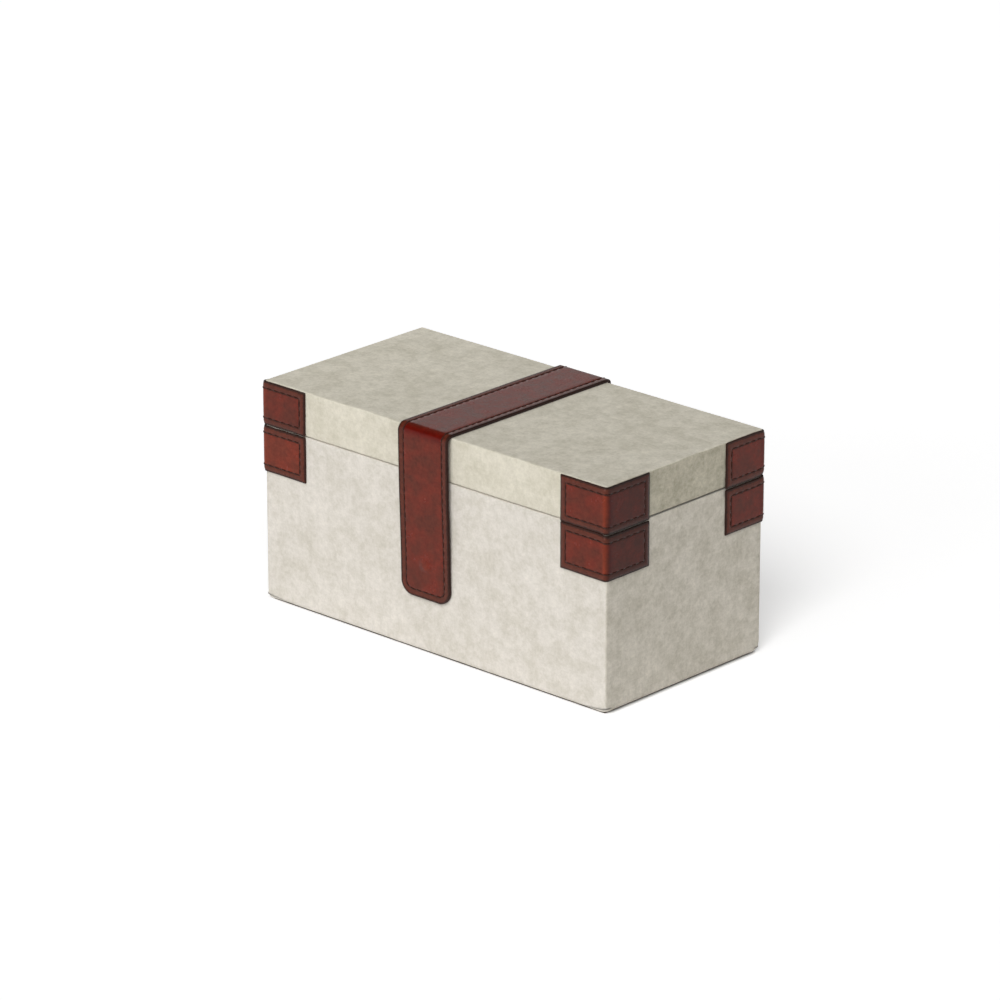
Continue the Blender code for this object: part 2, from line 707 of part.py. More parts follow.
def hinges(base_canvas, lid_canvas):
    """Two hinges, their pins, and the notches in both canvas covers that they lie in."""
    notch_front = LEAF_BACK + LEAF_DEPTH + CLEARANCE
    notch_size = (HINGE_LENGTH + CLEARANCE * 2, notch_front + OVERRUN, LEAF_BACK * 2)
    for label, side in (("left", -1), ("right", 1)):
        place = (side * HINGE_X, HINGE_Y, SEAM)
        hinge_leaf("hinge_" + label + "_base_leaf", BASE, place, False,
                   PARTS.objects["base_back_board"])
        hinge_leaf("hinge_" + label + "_lid_leaf", LID, place, True,
                   PARTS.objects["lid_back_rail"])
        name = "hinge_" + label + "_pin"
        put(name, rod_mesh(name, PIN_RADIUS, HINGE_LENGTH, (1, 0, 0), ROUND_SIDES),
            STEEL_LOOK, BASE, place)
        middle = (place[0], place[1] + (OVERRUN - notch_front) / 2, place[2])
        notch = put_cutter("hinge_" + label + "_notch",
                           box_mesh("hinge_" + label + "_notch", notch_size), middle)
        combine(base_canvas, notch, 'DIFFERENCE')
        combine(lid_canvas, notch, 'DIFFERENCE')


def build():
    base_boards()
    lid_boards()
    linings()
    base_canvas = base_cover()
    lid_canvas = lid_cover()
    underside_felt()
    corner_patches()
    strap()
    keeper()
    hinges(base_canvas, lid_canvas)


build()
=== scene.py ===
"""Looks for a canvas-covered keepsake box with leather corners and a leather strap.

Boards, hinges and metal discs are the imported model's own. Canvas, lining, felt, leather and
stitching are made here in the places of the solids that they stand for. Metres, +Z up, front
at -Y, origin at the centre of the underside.
"""
import math

import bmesh
import bpy
from mathutils import Matrix, Vector, noise


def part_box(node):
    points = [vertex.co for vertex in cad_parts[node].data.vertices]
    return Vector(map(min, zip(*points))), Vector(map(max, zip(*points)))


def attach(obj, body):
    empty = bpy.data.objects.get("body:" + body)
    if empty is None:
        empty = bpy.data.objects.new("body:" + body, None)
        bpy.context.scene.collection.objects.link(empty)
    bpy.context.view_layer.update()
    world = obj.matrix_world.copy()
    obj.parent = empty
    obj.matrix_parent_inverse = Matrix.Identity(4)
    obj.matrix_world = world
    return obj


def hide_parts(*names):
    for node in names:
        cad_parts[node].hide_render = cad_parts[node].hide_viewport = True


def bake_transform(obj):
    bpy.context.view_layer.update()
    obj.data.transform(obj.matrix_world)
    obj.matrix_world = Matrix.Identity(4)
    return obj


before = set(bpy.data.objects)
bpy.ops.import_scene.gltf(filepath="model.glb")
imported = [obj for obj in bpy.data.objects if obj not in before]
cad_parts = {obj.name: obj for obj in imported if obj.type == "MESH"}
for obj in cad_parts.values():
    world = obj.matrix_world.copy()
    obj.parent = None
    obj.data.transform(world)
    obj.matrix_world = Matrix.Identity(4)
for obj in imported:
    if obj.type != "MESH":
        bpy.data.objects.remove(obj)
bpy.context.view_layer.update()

MM = 0.001

# Outside of the canvas and the seam between lid and base, as in the solids
HALF_LENGTH = 150.0 * MM
HALF_DEPTH = 74.5 * MM
BOX_HEIGHT = 153.0 * MM
SEAM = 122.4 * MM
BASE_RIM = 122.1 * MM
LID_RIM = 122.7 * MM
CANVAS_FOOT = 1.2 * MM
CLEARANCE = 0.3 * MM

# Canvas: thickness, roundings, hems and how uneven it lies
CANVAS = 0.8 * MM
CORNER_ROUND = 1.6 * MM
LID_EDGE_ROUND = 1.2 * MM
RIM_ROUND = 1.0 * MM
FOOT_ROUND = 3.0 * MM
# Front left, front right, back right and back left
FOOT_CORNER_ROUNDS = (2.2 * MM, 6.5 * MM, 6.5 * MM, 3.2 * MM)
FOOT_CORNER_RISE = 7.5 * MM
CORNER_STEPS = 6
SIDE_STEPS = (1 / 86, 1 / 43)
RIM_WIDTH = 8.2 * MM
TURN_IN = 8.0 * MM
TURN_UNDER = 12.0 * MM
CANVAS_STEP = 3.5 * MM
HEM_STEP = 2.0 * MM
UNDER_STEP = 3.0 * MM
TUCK_STEP = 0.9 * MM
EDGE_STEPS = 4
FOOT_STEPS = 14
CANVAS_SWELL = 0.16 * MM
CANVAS_RIPPLE = 0.05 * MM
SWELL_SPAN = 38.0 * MM
RIPPLE_SPAN = 9.0 * MM
RIM_CALM = 6.0 * MM
SEAM_SHADE = 0.65 * MM
GLUE_REACH = 36.0 * MM
GAP_SHADE_HEIGHT = 5.5 * MM
FACING = 0.7

# Tucked corners at the canvas's foot
FOLD_LENGTH = 22.0 * MM
FOLD_FOOT = 0.5 * MM
FOLD_RISE = 2.3 * MM
FOLD_LAYER = 0.42 * MM
FOLD_DEPTH = 0.50 * MM
FOLD_GROOVE = 0.70 * MM

# Notches in the canvas for the two hinges
HINGE_X = 90.0 * MM
HINGE_Y = 75.7 * MM
NOTCH_LENGTH = 30.6 * MM
NOTCH_FRONT = 7.8 * MM
NOTCH_HALF_HEIGHT = 2.3 * MM
OVERRUN = 4.0 * MM

# Leather corners: quarter turns, the faces of the box that each lies on, and for each face
# the leg's length, half the gap between lid and base leather and how far it lies over the seam
PATCH_LEATHER = 1.4 * MM
PATCH_STITCH = 4.8 * MM
PATCH_SKIVE = 0.55 * MM
PATCH_WOBBLE = 0.40
SKIVE_WIDTH = 3.0 * MM
LEVEL_SHIFT = 5.0 * MM
# Bend of each corner: burnish with a painted highlight on one side, a crease with painted shade
# on the other
BEND_HIGHLIGHT_SHIFT = 1.0 * MM
BEND_HIGHLIGHT_WIDTH = 1.7 * MM
# Crease beside each corner's bend, drawn dark as painted shade
CREASE_SHIFT = 2.5 * MM
CREASE_WIDTH = 1.0 * MM
BEND_RADIUS = CORNER_ROUND + CLEARANCE + PATCH_LEATHER / 2
BEND_LENGTH = BEND_RADIUS * math.pi / 2
PATCHES = {"back_right": (0, ("back", "right"), (38.0 * MM, 36.9 * MM),
                          (0.70 * MM, 0.42 * MM), (0.0 * MM, -1.2 * MM)),
           "back_left": (1, ("left", "back"), (38.0 * MM, 38.0 * MM),
                         (0.50 * MM, 0.70 * MM), (0.0 * MM, 0.0 * MM)),
           "front_left": (2, ("front", "left"), (37.9 * MM, 38.0 * MM),
                          (0.39 * MM, 0.39 * MM), (0.0 * MM, 0.0 * MM)),
           "front_right": (3, ("right", "front"), (39.2 * MM, 37.9 * MM),
                           (0.45 * MM, 0.08 * MM), (-1.5 * MM, -0.8 * MM))}
BEND_BURNISH_HIGHLIGHT = 0.62
CREASE_SHADE_SHARE = 0.85
# How dark single legs are, by body, the corner's two faces and the leg's own; the legs on
# the right face are drawn darker as painted shade
LEG_TONES_AND_SHADE = {("lid", "right", "front", "right"): 0.52, ("base", "right", "front", "right"): 0.54,
             ("base", "back", "right", "right"): 0.88, ("lid", "back", "right", "right"): 0.90,
             ("lid", "front", "left", "front"): 0.95}
WORN_PATCH = ("base", "front", "left")
WORN_SHARE = 0.32
PATCH_FOOT = 90.3 * MM
PATCH_TOP = {"front": 152.8 * MM, "right": 152.8 * MM, "left": 152.1 * MM, "back": 152.1 * MM}

# Leather strap: its two layers, the bends over the lid and the drop down the front
STRAP_WIDTH = 42.6 * MM
STRAP_X = -3.4 * MM
STRAP_LEATHER = 0.9 * MM
STRAP_BACKING = 0.8 * MM
STRAP_LEVEL = STRAP_BACKING + CLEARANCE
STRAP_STITCH = 4.6 * MM
TAIL_FOOT = 123.0 * MM
TAIL_BEND = (73.3 * MM, 151.8 * MM, 1.5 * MM)
FRONT_BEND = (-73.7 * MM, 149.6 * MM, 3.7 * MM)
FLAP_TOP = 146.6 * MM
FLAP_END = 38.8 * MM
FLAP_END_ROUND = 9.5 * MM
FLAP_NEAR = 0.6 * MM
FLAP_FAR = 2.9 * MM
FLEX_END = 132.0 * MM
STRAP_CREASE_AT = 0.62
# Crease across the strap's front bend, drawn dark as painted shade
STRAP_CREASE_SHADE = 1.0
STRAP_CREASE_WIDTH = 4.2 * MM

# Magnet in the strap's backing
MAGNET_HEIGHT = 62.0 * MM
MAGNET_HOLE = 5.3 * MM
MAGNET_RISE = 0.62 * MM
MAGNET_FADE = (1.6 * MM, 5.6 * MM)
# Painted highlight over the magnet's bump: its share and width
MAGNET_PAINTED_GLINT = (0.30, 2.6 * MM)
MAGNET_REACH = 8.0 * MM

# How far apart the lines of the leather meshes are, in millimetres: along the strap in its
# stretches from tail to end, across it, and on the corners' legs, bends and heights
STRAP_STEPS = (3.0, 0.6, 3.5, 0.7, 1.2, 3.0, 1.0, 2.0)
STRAP_ACROSS_STEP = 1.2 * MM
LEG_STEP = 2.6 * MM
BEND_STEP = 0.5 * MM
HEIGHT_STEP = 2.0 * MM

# Cut edges, stitch channel and thread
EDGE_LINES = [0, 0.05, 0.13, 0.25, 0.4, 0.7, 1.3, 2.1, 3.0]
STITCH_LINES = [-1.2, -0.7, -0.4, -0.2, 0, 0.2, 0.4, 0.7, 1.2, 2.0, 3.0, 4.2]
CORNER_BLOCK = 12.0 * MM
WOBBLE_SPANS = (26.0 * MM, 7.0 * MM)
WOBBLE_SIZES = (0.42, 0.12)
WOBBLE_FADE = 9.0 * MM
CHANNEL_DEPTH = 0.24 * MM
CHANNEL_WIDTH = 0.34 * MM
PILLOW_DEPTH = 0.12 * MM
PILLOW_WIDTH = 1.5 * MM
STITCH_PITCH = 6.0 * MM
STITCH_GAP = 1.5 * MM
STITCH_SLANT = 0.14 * MM
RUN_STEP = 2.0 * MM
RUN_BEND_STEP = 0.4 * MM
THREAD_RADIUS = 0.46 * MM
THREAD_TWIST = 0.9 * MM
THREAD_SIDES = 8
THREAD_STEPS = 8

# Lining cards and felt
CARD_ROUND = 0.5 * MM
CARD_STEP = 6.0 * MM
CARD_SWELL = 0.07 * MM
FELT_ROUND = 0.35 * MM

# Slotted screw heads
SCREW_HEAD = 1.6 * MM
SCREW_SHANK = 0.8 * MM
SCREW_LENGTH = 6.0 * MM
SCREW_NECK = 0.8 * MM
SCREW_THREADS = 9
SCREW_PITCH = 0.5 * MM
SCREW_SIDES = 24
SLOT_WIDTH = 0.4 * MM
SLOT_DEPTH = 0.45 * MM

# Colours as they are written for a display, from 0 to 1
BASE_CANVAS = (0.842, 0.818, 0.777)
LID_CANVAS = (0.832, 0.808, 0.741)
LINING_COTTON = (0.80, 0.75, 0.66)
FELT_BROWN = (0.30, 0.26, 0.22)
LEATHER_PANEL = (0.348, 0.149, 0.102)
LEATHER_RED = (0.422, 0.150, 0.100)
LEATHER_MARGIN = (0.330, 0.165, 0.118)
LEATHER_EDGE = (0.180, 0.080, 0.045)
LEATHER_BURNISH_HIGHLIGHT = (0.50, 0.20, 0.115)
LEATHER_CREASE_SHADE = (0.35, 0.050, 0.020)
SUEDE = (0.36, 0.20, 0.15)
THREAD_BROWN = (0.220, 0.095, 0.055)
FIBREBOARD = (0.62, 0.50, 0.36)
BRASS = (0.78, 0.62, 0.34)
STEEL = (0.70, 0.70, 0.72)
FLOOR_PALE = (0.97, 0.97, 0.97)

WHITE = (1.0, 1.0, 1.0, 1.0)

# Canvas surface: blotches of four widths (share of the tone, number to the metre, detail,
# roughness), the tone that they spread about, and the tint of aged sizing
BLOTCHES = ((0.075, 620.0, 2.0, 0.55), (0.105, 250.0, 3.0, 0.6), (0.12, 85.0, 3.0, 0.6),
            (0.07, 22.0, 2.0, 0.5))
CANVAS_MIDDLE = 0.965
CANVAS_YELLOWING = (1.0, 0.984, 0.905, 1.0)
# Right side, on each body: tone (painted shade, darker than its light), yellowing, blotchiness
RIGHT_SIDE = {"lid": (0.71, 0.75, 2.0), "base": (0.86, 0.6, 1.5)}
# The top: painted light, its tone at the middle and fall to the right end; and how blotchy
TOP_PAINTED_LIGHT = 1.015
TOP_PAINTED_FALL = 0.058
TOP_GRAIN = 1.3
# Painted shade: tones of the seam on the right, and of the canvas under the right corners'
# leather where it shows through the gap between lid and base leather, on the right and on
# the other faces; and painted light and shade: how much a tucked layer is lighter and its
# groove darker
SEAM_PAINTED_SHADE = 0.45
GAP_PAINTED_SHADES = (0.35, 0.55)
FOLD_LIGHT_AND_SHADE = (0.20, 0.80)

# Camera, lights and floor
CAMERA_AIM = (-9.53 * MM, 0.0, 84.53 * MM)
CAMERA_TURN = math.radians(42.938)
CAMERA_RISE = math.radians(20.228)
CAMERA_DISTANCE = 3.7307
CAMERA_LENS = 206.85
# Two suns stand for one tall soft light in front: where they come from, strength and spread
SUNS = {"high_light": ((0.3715, -0.6434, 0.669), 1.885, math.radians(30)),
        "low_light": ((0.0, -0.993, 0.120), 0.90, math.radians(40))}
SKY_LEVEL = 0.32
CEILING_LEVEL = 0.03
CEILING_EDGE = (0.24, 0.50)
FLOOR_LIFT = 0.315
CONTACT_MIDDLE = 1.5 * MM
CONTACT_HALF = (148.5 * MM, 73.0 * MM)
CONTACT_ROUND = 6.0 * MM
CONTACT_FADE = (-1.2 * MM, 0.8 * MM)
FLOOR_REACH = 12.0


# Small helpers


def smoothstep(low, high, value):
    share = min(max((value - low) / (high - low), 0.0), 1.0)
    return share * share * (3 - 2 * share)


def bump(value, centre, width):
    """Bell shape, 1 at its centre."""
    return math.exp(-((value - centre) / width) ** 2)


def spread(low, high, step):
    """Even positions from low to high, ends included, about a step apart."""
    count = max(1, round((high - low) / step))
    return [low + (high - low) * index / count for index in range(count + 1)]


def joined(*lists):
    """Positions of several lists in one, without repeats."""
    found = []
    for value in sorted(v for items in lists for v in items):
        if not found or value - found[-1] > 0.01 * MM:
            found.append(value)
    return found


def arc(centre, radius, start, end, steps):
    points = []
    for step in range(steps + 1):
        turn = math.radians(start + (end - start) * step / steps)
        points.append((centre[0] + radius * math.cos(turn), centre[1] + radius * math.sin(turn)))
    return points


def place_object(name, data):
    made = bpy.data.objects.new(name, data)
    bpy.context.scene.collection.objects.link(made)
    return made


def new_object(name, points, faces):
    mesh = bpy.data.meshes.new(name)
    mesh.from_pydata(points, [], faces)
    return place_object(name, mesh)


def face_outwards(made):
    bm = bmesh.new()
    bm.from_mesh(made.data)
    bmesh.ops.recalc_face_normals(bm, faces=bm.faces)
    bm.to_mesh(made.data)
    bm.free()


def set_value(made, name, values):
    """One number for each point of the mesh, read by the materials."""
    layer = made.data.attributes.new(name, 'FLOAT', 'POINT')
    layer.data.foreach_set("value", values)


def set_flat(made, places):
    """Flat coordinates, one pair for each point of the mesh."""
    layer = made.data.uv_layers.new(name="flat")
    for loop in made.data.loops:
        layer.data[loop.index].uv = places[loop.vertex_index]


def lay_flat(made):
    """Cloth coordinates in metres, taken square on to whichever way each face points."""
    layer = made.data.uv_layers.new(name="flat")
    for face in made.data.polygons:
        size = [abs(part) for part in face.normal]
        across, along = ((1, 2), (0, 2), (0, 1))[size.index(max(size))]
        for loop in face.loop_indices:
            place = made.data.vertices[made.data.loops[loop].vertex_index].co
            layer.data[loop].uv = (place[across], place[along])


def apply_modifiers(made):
    graph = bpy.context.evaluated_depsgraph_get()
    mesh = bpy.data.meshes.new_from_object(made.evaluated_get(graph), depsgraph=graph)
    made.modifiers.clear()
    made.data = mesh


def cut(made, cutters):
    for cutter in cutters:
        change = made.modifiers.new("cut", 'BOOLEAN')
        change.operation = 'DIFFERENCE'
        change.solver = 'EXACT'
        change.object = cutter
    apply_modifiers(made)
    for cutter in cutters:
        bpy.data.objects.remove(cutter, do_unlink=True)


def block(name, low, high):
    points = [(x, y, z) for x in (low[0], high[0]) for y in (low[1], high[1])
              for z in (low[2], high[2])]
    faces = [(0, 1, 3, 2), (4, 6, 7, 5), (0, 4, 5, 1), (2, 3, 7, 6), (0, 2, 6, 4), (1, 5, 7, 3)]
    return new_object(name, points, faces)


def finish_piece(made, look, body, stands_for=()):
    made.data.materials.clear()
    made.data.materials.append(look)
    made.data.shade_smooth()
    if body:
        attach(made, body)
    if stands_for:
        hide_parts(*stands_for)
    return made


# Nodes of the materials


def linear(channel):
    if channel <= 0.04045:
        return channel / 12.92
    return ((channel + 0.055) / 1.055) ** 2.4


def shade(colour, factor=1.0):
    return [linear(channel) * factor for channel in colour] + [1.0]


class Nodes:
    """Short calls for the nodes of one tree."""

    def __init__(self, tree):
        self.tree = tree

    def wire(self, value, socket):
        if isinstance(value, (int, float, list, tuple)):
            socket.default_value = value
        else:
            self.tree.links.new(value, socket)

    def node(self, kind, inputs, output=0, **settings):
        """One output of a new node, its inputs given by name or number."""
        made = self.tree.nodes.new(kind)
        for key, value in settings.items():
            setattr(made, key, value)
        for key, value in inputs.items():
            self.wire(value, made.inputs[key])
        return made.outputs[output]

    def maths(self, operation, first, second=0.0, third=0.0):
        return self.node('ShaderNodeMath', {0: first, 1: second, 2: third}, operation=operation)

    def parts(self, vector):
        made = self.tree.nodes.new('ShaderNodeSeparateXYZ')
        self.wire(vector, made.inputs[0])
        return made.outputs

    def remap(self, value, low, high, to_low=0.0, to_high=1.0):
        inputs = dict(enumerate((value, low, high, to_low, to_high)))
        return self.node('ShaderNodeMapRange', inputs, interpolation_type='SMOOTHSTEP')

    def between(self, share, first, second):
        return self.node('ShaderNodeMix', {0: share, 2: first, 3: second}, data_type='FLOAT')

    def rays(self, kind):
        return self.node('ShaderNodeLightPath', {}, "Is " + kind + " Ray")

    def seen_directly(self):
        """1 for rays from the camera, from gloss and through glass, 0 for light on the object."""
        either = self.maths('MAXIMUM', self.rays("Camera"), self.rays("Glossy"))
        return self.maths('MAXIMUM', either, self.rays("Transmission"))


class Look(Nodes):
    """Principled material with short calls for what feeds it."""

    def __init__(self, name, roughness, **fixed):
        self.made = bpy.data.materials.new(name)
        self.made.use_nodes = True
        super().__init__(self.made.node_tree)
        self.inputs = self.tree.nodes["Principled BSDF"].inputs
        self.inputs["Roughness"].default_value = roughness
        for socket, value in fixed.items():
            self.inputs[socket.replace("_", " ")].default_value = value

    def flat(self):
        """The piece's own flat coordinates in metres."""
        return self.node('ShaderNodeUVMap', {}, uv_map="flat")

    def place(self):
        return self.node('ShaderNodeTexCoord', {}, "Object")

    def attribute(self, name):
        return self.node('ShaderNodeAttribute', {}, "Fac", attribute_name=name)

    def stretched(self, vector, scale):
        return self.node('ShaderNodeMapping', {"Vector": vector, "Scale": scale})

    def noise(self, vector, scale, detail=2.0, rough=0.5):
        return self.node('ShaderNodeTexNoise', {"Vector": vector, "Scale": scale,
                                                "Detail": detail, "Roughness": rough})

    def random(self, value):
        return self.node('ShaderNodeTexWhiteNoise', {"W": value}, noise_dimensions='1D')

    def mix(self, factor, first, second, kind='MIX'):
        return self.node('ShaderNodeMix', {0: factor, 6: first, 7: second}, 2,
                         data_type='RGBA', blend_type=kind)

    def colour(self, tint, factor):
        """Sets the colour to a tint, made lighter or darker by a factor."""
        tint = tint[:3] if isinstance(tint, list) else tint
        scaled = self.node('ShaderNodeVectorMath', {0: tint, "Scale": factor}, operation='SCALE')
        self.wire(scaled, self.inputs["Base Color"])

    def roughness(self, value):
        self.wire(value, self.inputs["Roughness"])

    def relief(self, height, strength, distance, under=None):
        inputs = {"Strength": strength, "Distance": distance, "Height": height}
        if under is not None:
            inputs["Normal"] = under
        made = self.node('ShaderNodeBump', inputs)
        self.wire(made, self.inputs["Normal"])
        return made


def plain_weave(look, pitch):
    """Height of a plain weave, a random number for each thread, and slubs along threads."""
    parts = look.parts(look.flat())
    wander = look.maths('MULTIPLY', look.noise(look.flat(), 90.0), 1.6)
    across = look.maths('ADD', look.maths('DIVIDE', parts[0], pitch), wander)
    along = look.maths('ADD', look.maths('DIVIDE', parts[1], pitch), wander)
    warp, weft = look.maths('FLOOR', across), look.maths('FLOOR', along)
    warp_round = look.maths('SINE', look.maths('MULTIPLY', look.maths('FRACT', across), math.pi))
    weft_round = look.maths('SINE', look.maths('MULTIPLY', look.maths('FRACT', along), math.pi))
    over = look.maths('PINGPONG', look.maths('ADD', warp, weft), 1.0)
    warp_top = look.maths('MULTIPLY', warp_round,
                          look.maths('MULTIPLY_ADD', weft_round, 0.45, 0.55))
    weft_top = look.maths('MULTIPLY', weft_round,
                          look.maths('MULTIPLY_ADD', warp_round, 0.45, 0.55))
    height = look.maths('ADD', look.maths('MULTIPLY', warp_top, over),
                        look.maths('MULTIPLY', weft_top, look.maths('SUBTRACT', 1.0, over)))
    chosen = look.maths('ADD', look.maths('MULTIPLY', warp, over),
                        look.maths('MULTIPLY', look.maths('ADD', weft, 5000.0),
                                   look.maths('SUBTRACT', 1.0, over)))
    thread = look.random(chosen)
    slub_warp = look.noise(look.stretched(look.flat(), (1 / pitch, 26.0, 1.0)), 1.0, 1.0)
    slub_weft = look.noise(look.stretched(look.flat(), (26.0, 1 / pitch, 1.0)), 1.0, 1.0)
    slub = look.maths('ADD', look.maths('MULTIPLY', slub_warp, over),
                      look.maths('MULTIPLY', slub_weft, look.maths('SUBTRACT', 1.0, over)))
    return height, thread, slub


def canvas_look(name, colour, pitch=0.72 * MM, mottle=1.0):
    """Undyed canvas: woven threads under uneven sizing, which leaves blotches of all widths."""
    look = Look(name, 0.93, Sheen_Weight=0.10, Sheen_Roughness=0.55, Specular_IOR_Level=0.25)
    height, thread, slub = plain_weave(look, pitch)
    tone, blotches = 1.0, []
    for share, *kind in BLOTCHES:
        blotches.append(look.noise(look.flat(), *kind))
        half = share * mottle / 2
        tone = look.maths('ADD', look.remap(blotches[-1], 0.3, 0.7, -half, half), tone)
    tone = look.maths('MULTIPLY_ADD', look.maths('SUBTRACT', thread, 0.5), 0.025, tone)
    tone = look.maths('MULTIPLY_ADD', look.maths('SUBTRACT', slub, 0.5), 0.02, tone)
    # Painted shade: the weave's hollows between threads are drawn darker
    gap = look.remap(height, 0.0, 0.35, 0.93, 1.0)
    tone = look.maths('MULTIPLY', tone, gap)
    warm = look.maths('MULTIPLY_ADD', look.noise(look.flat(), 30.0, 2.0), 0.25,
                      look.remap(tone, 0.86, 1.06, 0.75, 0.0))
    grey = shade((colour[0] * 0.998, colour[1], colour[2] * 1.010))
    tan = shade((colour[0] * 1.002, colour[1], colour[2] * 0.984))
    tint = look.mix(warm, grey, tan)
    if mottle == 1.0:
        tone = look.maths('MULTIPLY_ADD', look.maths('SUBTRACT', tone, CANVAS_MIDDLE),
                          look.attribute("grain"), CANVAS_MIDDLE)
        # The tone attribute carries painted light and shade: right side, top, seam, gaps and
        # folds
        tone = look.maths('MULTIPLY', tone, look.attribute("tone"))
        tint = look.mix(look.attribute("warmth"), tint, CANVAS_YELLOWING, 'MULTIPLY')
    look.colour(tint, tone)
    raised = height
    for part, weight in zip((slub, *blotches), (0.2, 1.4, 2.2)):
        raised = look.maths('MULTIPLY_ADD', part, weight, raised)
    look.relief(raised, 0.7, 0.16 * MM)
    look.roughness(look.remap(height, 0.0, 1.0, 0.97, 0.88))
    return look.made


def leather_look():
    """Glazed red-brown leather: darker margin and stitch line, painted edge, fine grain."""
    look = Look("red_brown_leather", 0.22, Specular_IOR_Level=0.16)
    edge = look.attribute("edge_mm")
    seam = look.attribute("seam_mm")
    cloud = look.noise(look.flat(), 75.0, 3.0, 0.55)
    stain = look.noise(look.flat(), 240.0, 3.0, 0.6)
    fine = look.noise(look.flat(), 520.0, 2.0, 0.6)
    panel = look.mix(look.remap(cloud, 0.32, 0.70), shade(LEATHER_PANEL), shade(LEATHER_RED))
    # Burnish and painted highlight: wear on one patch, painted highlight on the bends and over
    # the magnet
    panel = look.mix(look.attribute("burnish_and_highlight"), panel, shade(LEATHER_BURNISH_HIGHLIGHT))
    # Crease and painted shade: dark band where the bend turns from the light
    panel = look.mix(look.attribute("crease"), panel, shade(LEATHER_CREASE_SHADE))
    outside = look.remap(look.maths('SUBTRACT', seam, edge), -0.9, 0.5)
    tone = look.mix(look.maths('MULTIPLY', outside, 0.8), panel, shade(LEATHER_MARGIN))
    line = look.remap(look.maths('ABSOLUTE', look.maths('SUBTRACT', edge, seam)), 0.1, 0.95,
                      0.75, 0.0)
    tone = look.mix(line, tone, shade(LEATHER_EDGE, 1.3))
    ragged = look.maths('MULTIPLY_ADD', look.maths('SUBTRACT', fine, 0.5), 1.2, edge)
    tone = look.mix(look.remap(ragged, 0.8, 1.75, 1.0, 0.0), tone, shade(LEATHER_EDGE))
    grit = look.maths('ADD', look.remap(fine, 0.3, 0.7, 0.36, 0.56),
                      look.remap(stain, 0.3, 0.7, 0.42, 0.66))
    # The tone attribute darkens the legs on the right face as painted shade
    look.colour(tone, look.maths('MULTIPLY', grit, look.attribute("tone")))
    pores = look.node('ShaderNodeTexVoronoi', {"Vector": look.flat(), "Scale": 1900.0},
                      "Distance", feature='DISTANCE_TO_EDGE')
    crease = look.noise(look.stretched(look.flat(), (260.0, 90.0, 1.0)), 1.0, 3.0, 0.6)
    under = look.relief(look.remap(pores, 0.0, 0.12), 0.10, 0.05 * MM)
    look.relief(crease, 0.12, 0.25 * MM, under)
    rough = look.remap(cloud, 0.3, 0.7, 0.18, 0.28)
    look.roughness(look.maths('ADD', rough, look.remap(edge, 0.2, 1.4, 0.30, 0.0)))
    return look.made


def suede_look():
    """Flesh side of the backing leather: a short nap and dark cut edges."""
    look = Look("leather_backing", 0.9, Sheen_Weight=0.25, Sheen_Roughness=0.4)
    edge = look.attribute("edge_mm")
    nap = look.noise(look.flat(), 1400.0, 3.0, 0.7)
    cloud = look.noise(look.flat(), 120.0, 3.0)
    tone = look.maths('ADD', look.remap(nap, 0.25, 0.75, 0.72, 1.18),
                      look.remap(cloud, 0.3, 0.7, -0.10, 0.10))
    tint = look.mix(look.remap(edge, 0.15, 0.8, 1.0, 0.0), shade(SUEDE), shade(LEATHER_EDGE))
    look.colour(tint, tone)
    look.relief(nap, 0.6, 0.12 * MM)
    return look.made


def thread_look():
    """Waxed thread, twisted from strands that show as slanting ridges."""
    look = Look("waxed_thread", 0.6, Specular_IOR_Level=0.2)
    parts = look.parts(look.flat())
    turn = look.maths('MULTIPLY_ADD', parts[1], 1 / THREAD_TWIST, parts[0])
    ridge = look.maths('SINE', look.maths('MULTIPLY', turn, math.tau))
    fuzz = look.noise(look.flat(), 900.0, 2.0)
    # Painted shade: the hollows between the strands are drawn darker
    tone = look.maths('ADD', look.remap(ridge, -1.0, 0.6, 0.5, 1.1),
                      look.remap(fuzz, 0.3, 0.7, -0.15, 0.15))
    look.colour(shade(THREAD_BROWN), tone)
    look.relief(ridge, 0.6, 0.08 * MM)
    return look.made


def felt_look():
    """Pressed felt: short tangled fibres."""
    look = Look("felt", 1.0, Sheen_Weight=0.2, Sheen_Roughness=0.6, Specular_IOR_Level=0.1)
    fibre = look.noise(look.stretched(look.place(), (1500.0, 420.0, 900.0)), 1.0, 4.0, 0.75)
    cross = look.noise(look.stretched(look.place(), (420.0, 1500.0, 900.0)), 1.0, 4.0, 0.75)
    tone = look.maths('ADD', look.remap(fibre, 0.25, 0.75, 0.45, 0.62),
                      look.remap(cross, 0.25, 0.75, 0.35, 0.62))
    look.colour(shade(FELT_BROWN), tone)
    look.relief(look.maths('ADD', fibre, cross), 0.8, 0.25 * MM)
    return look.made


def fibreboard_look():
    """Pressed wood fibre with darker specks and strands."""
    look = Look("fibreboard", 0.85, Specular_IOR_Level=0.3)
    speck = look.noise(look.place(), 1300.0, 4.0, 0.7)
    strand = look.noise(look.stretched(look.place(), (240.0, 900.0, 900.0)), 1.0, 4.0, 0.65)
    tone = look.maths('ADD', look.remap(speck, 0.3, 0.75, 0.50, 0.62),
                      look.remap(strand, 0.3, 0.7, 0.34, 0.50))
    look.colour(shade(FIBREBOARD), tone)
    look.relief(look.maths('ADD', speck, strand), 0.5, 0.12 * MM)
    return look.made


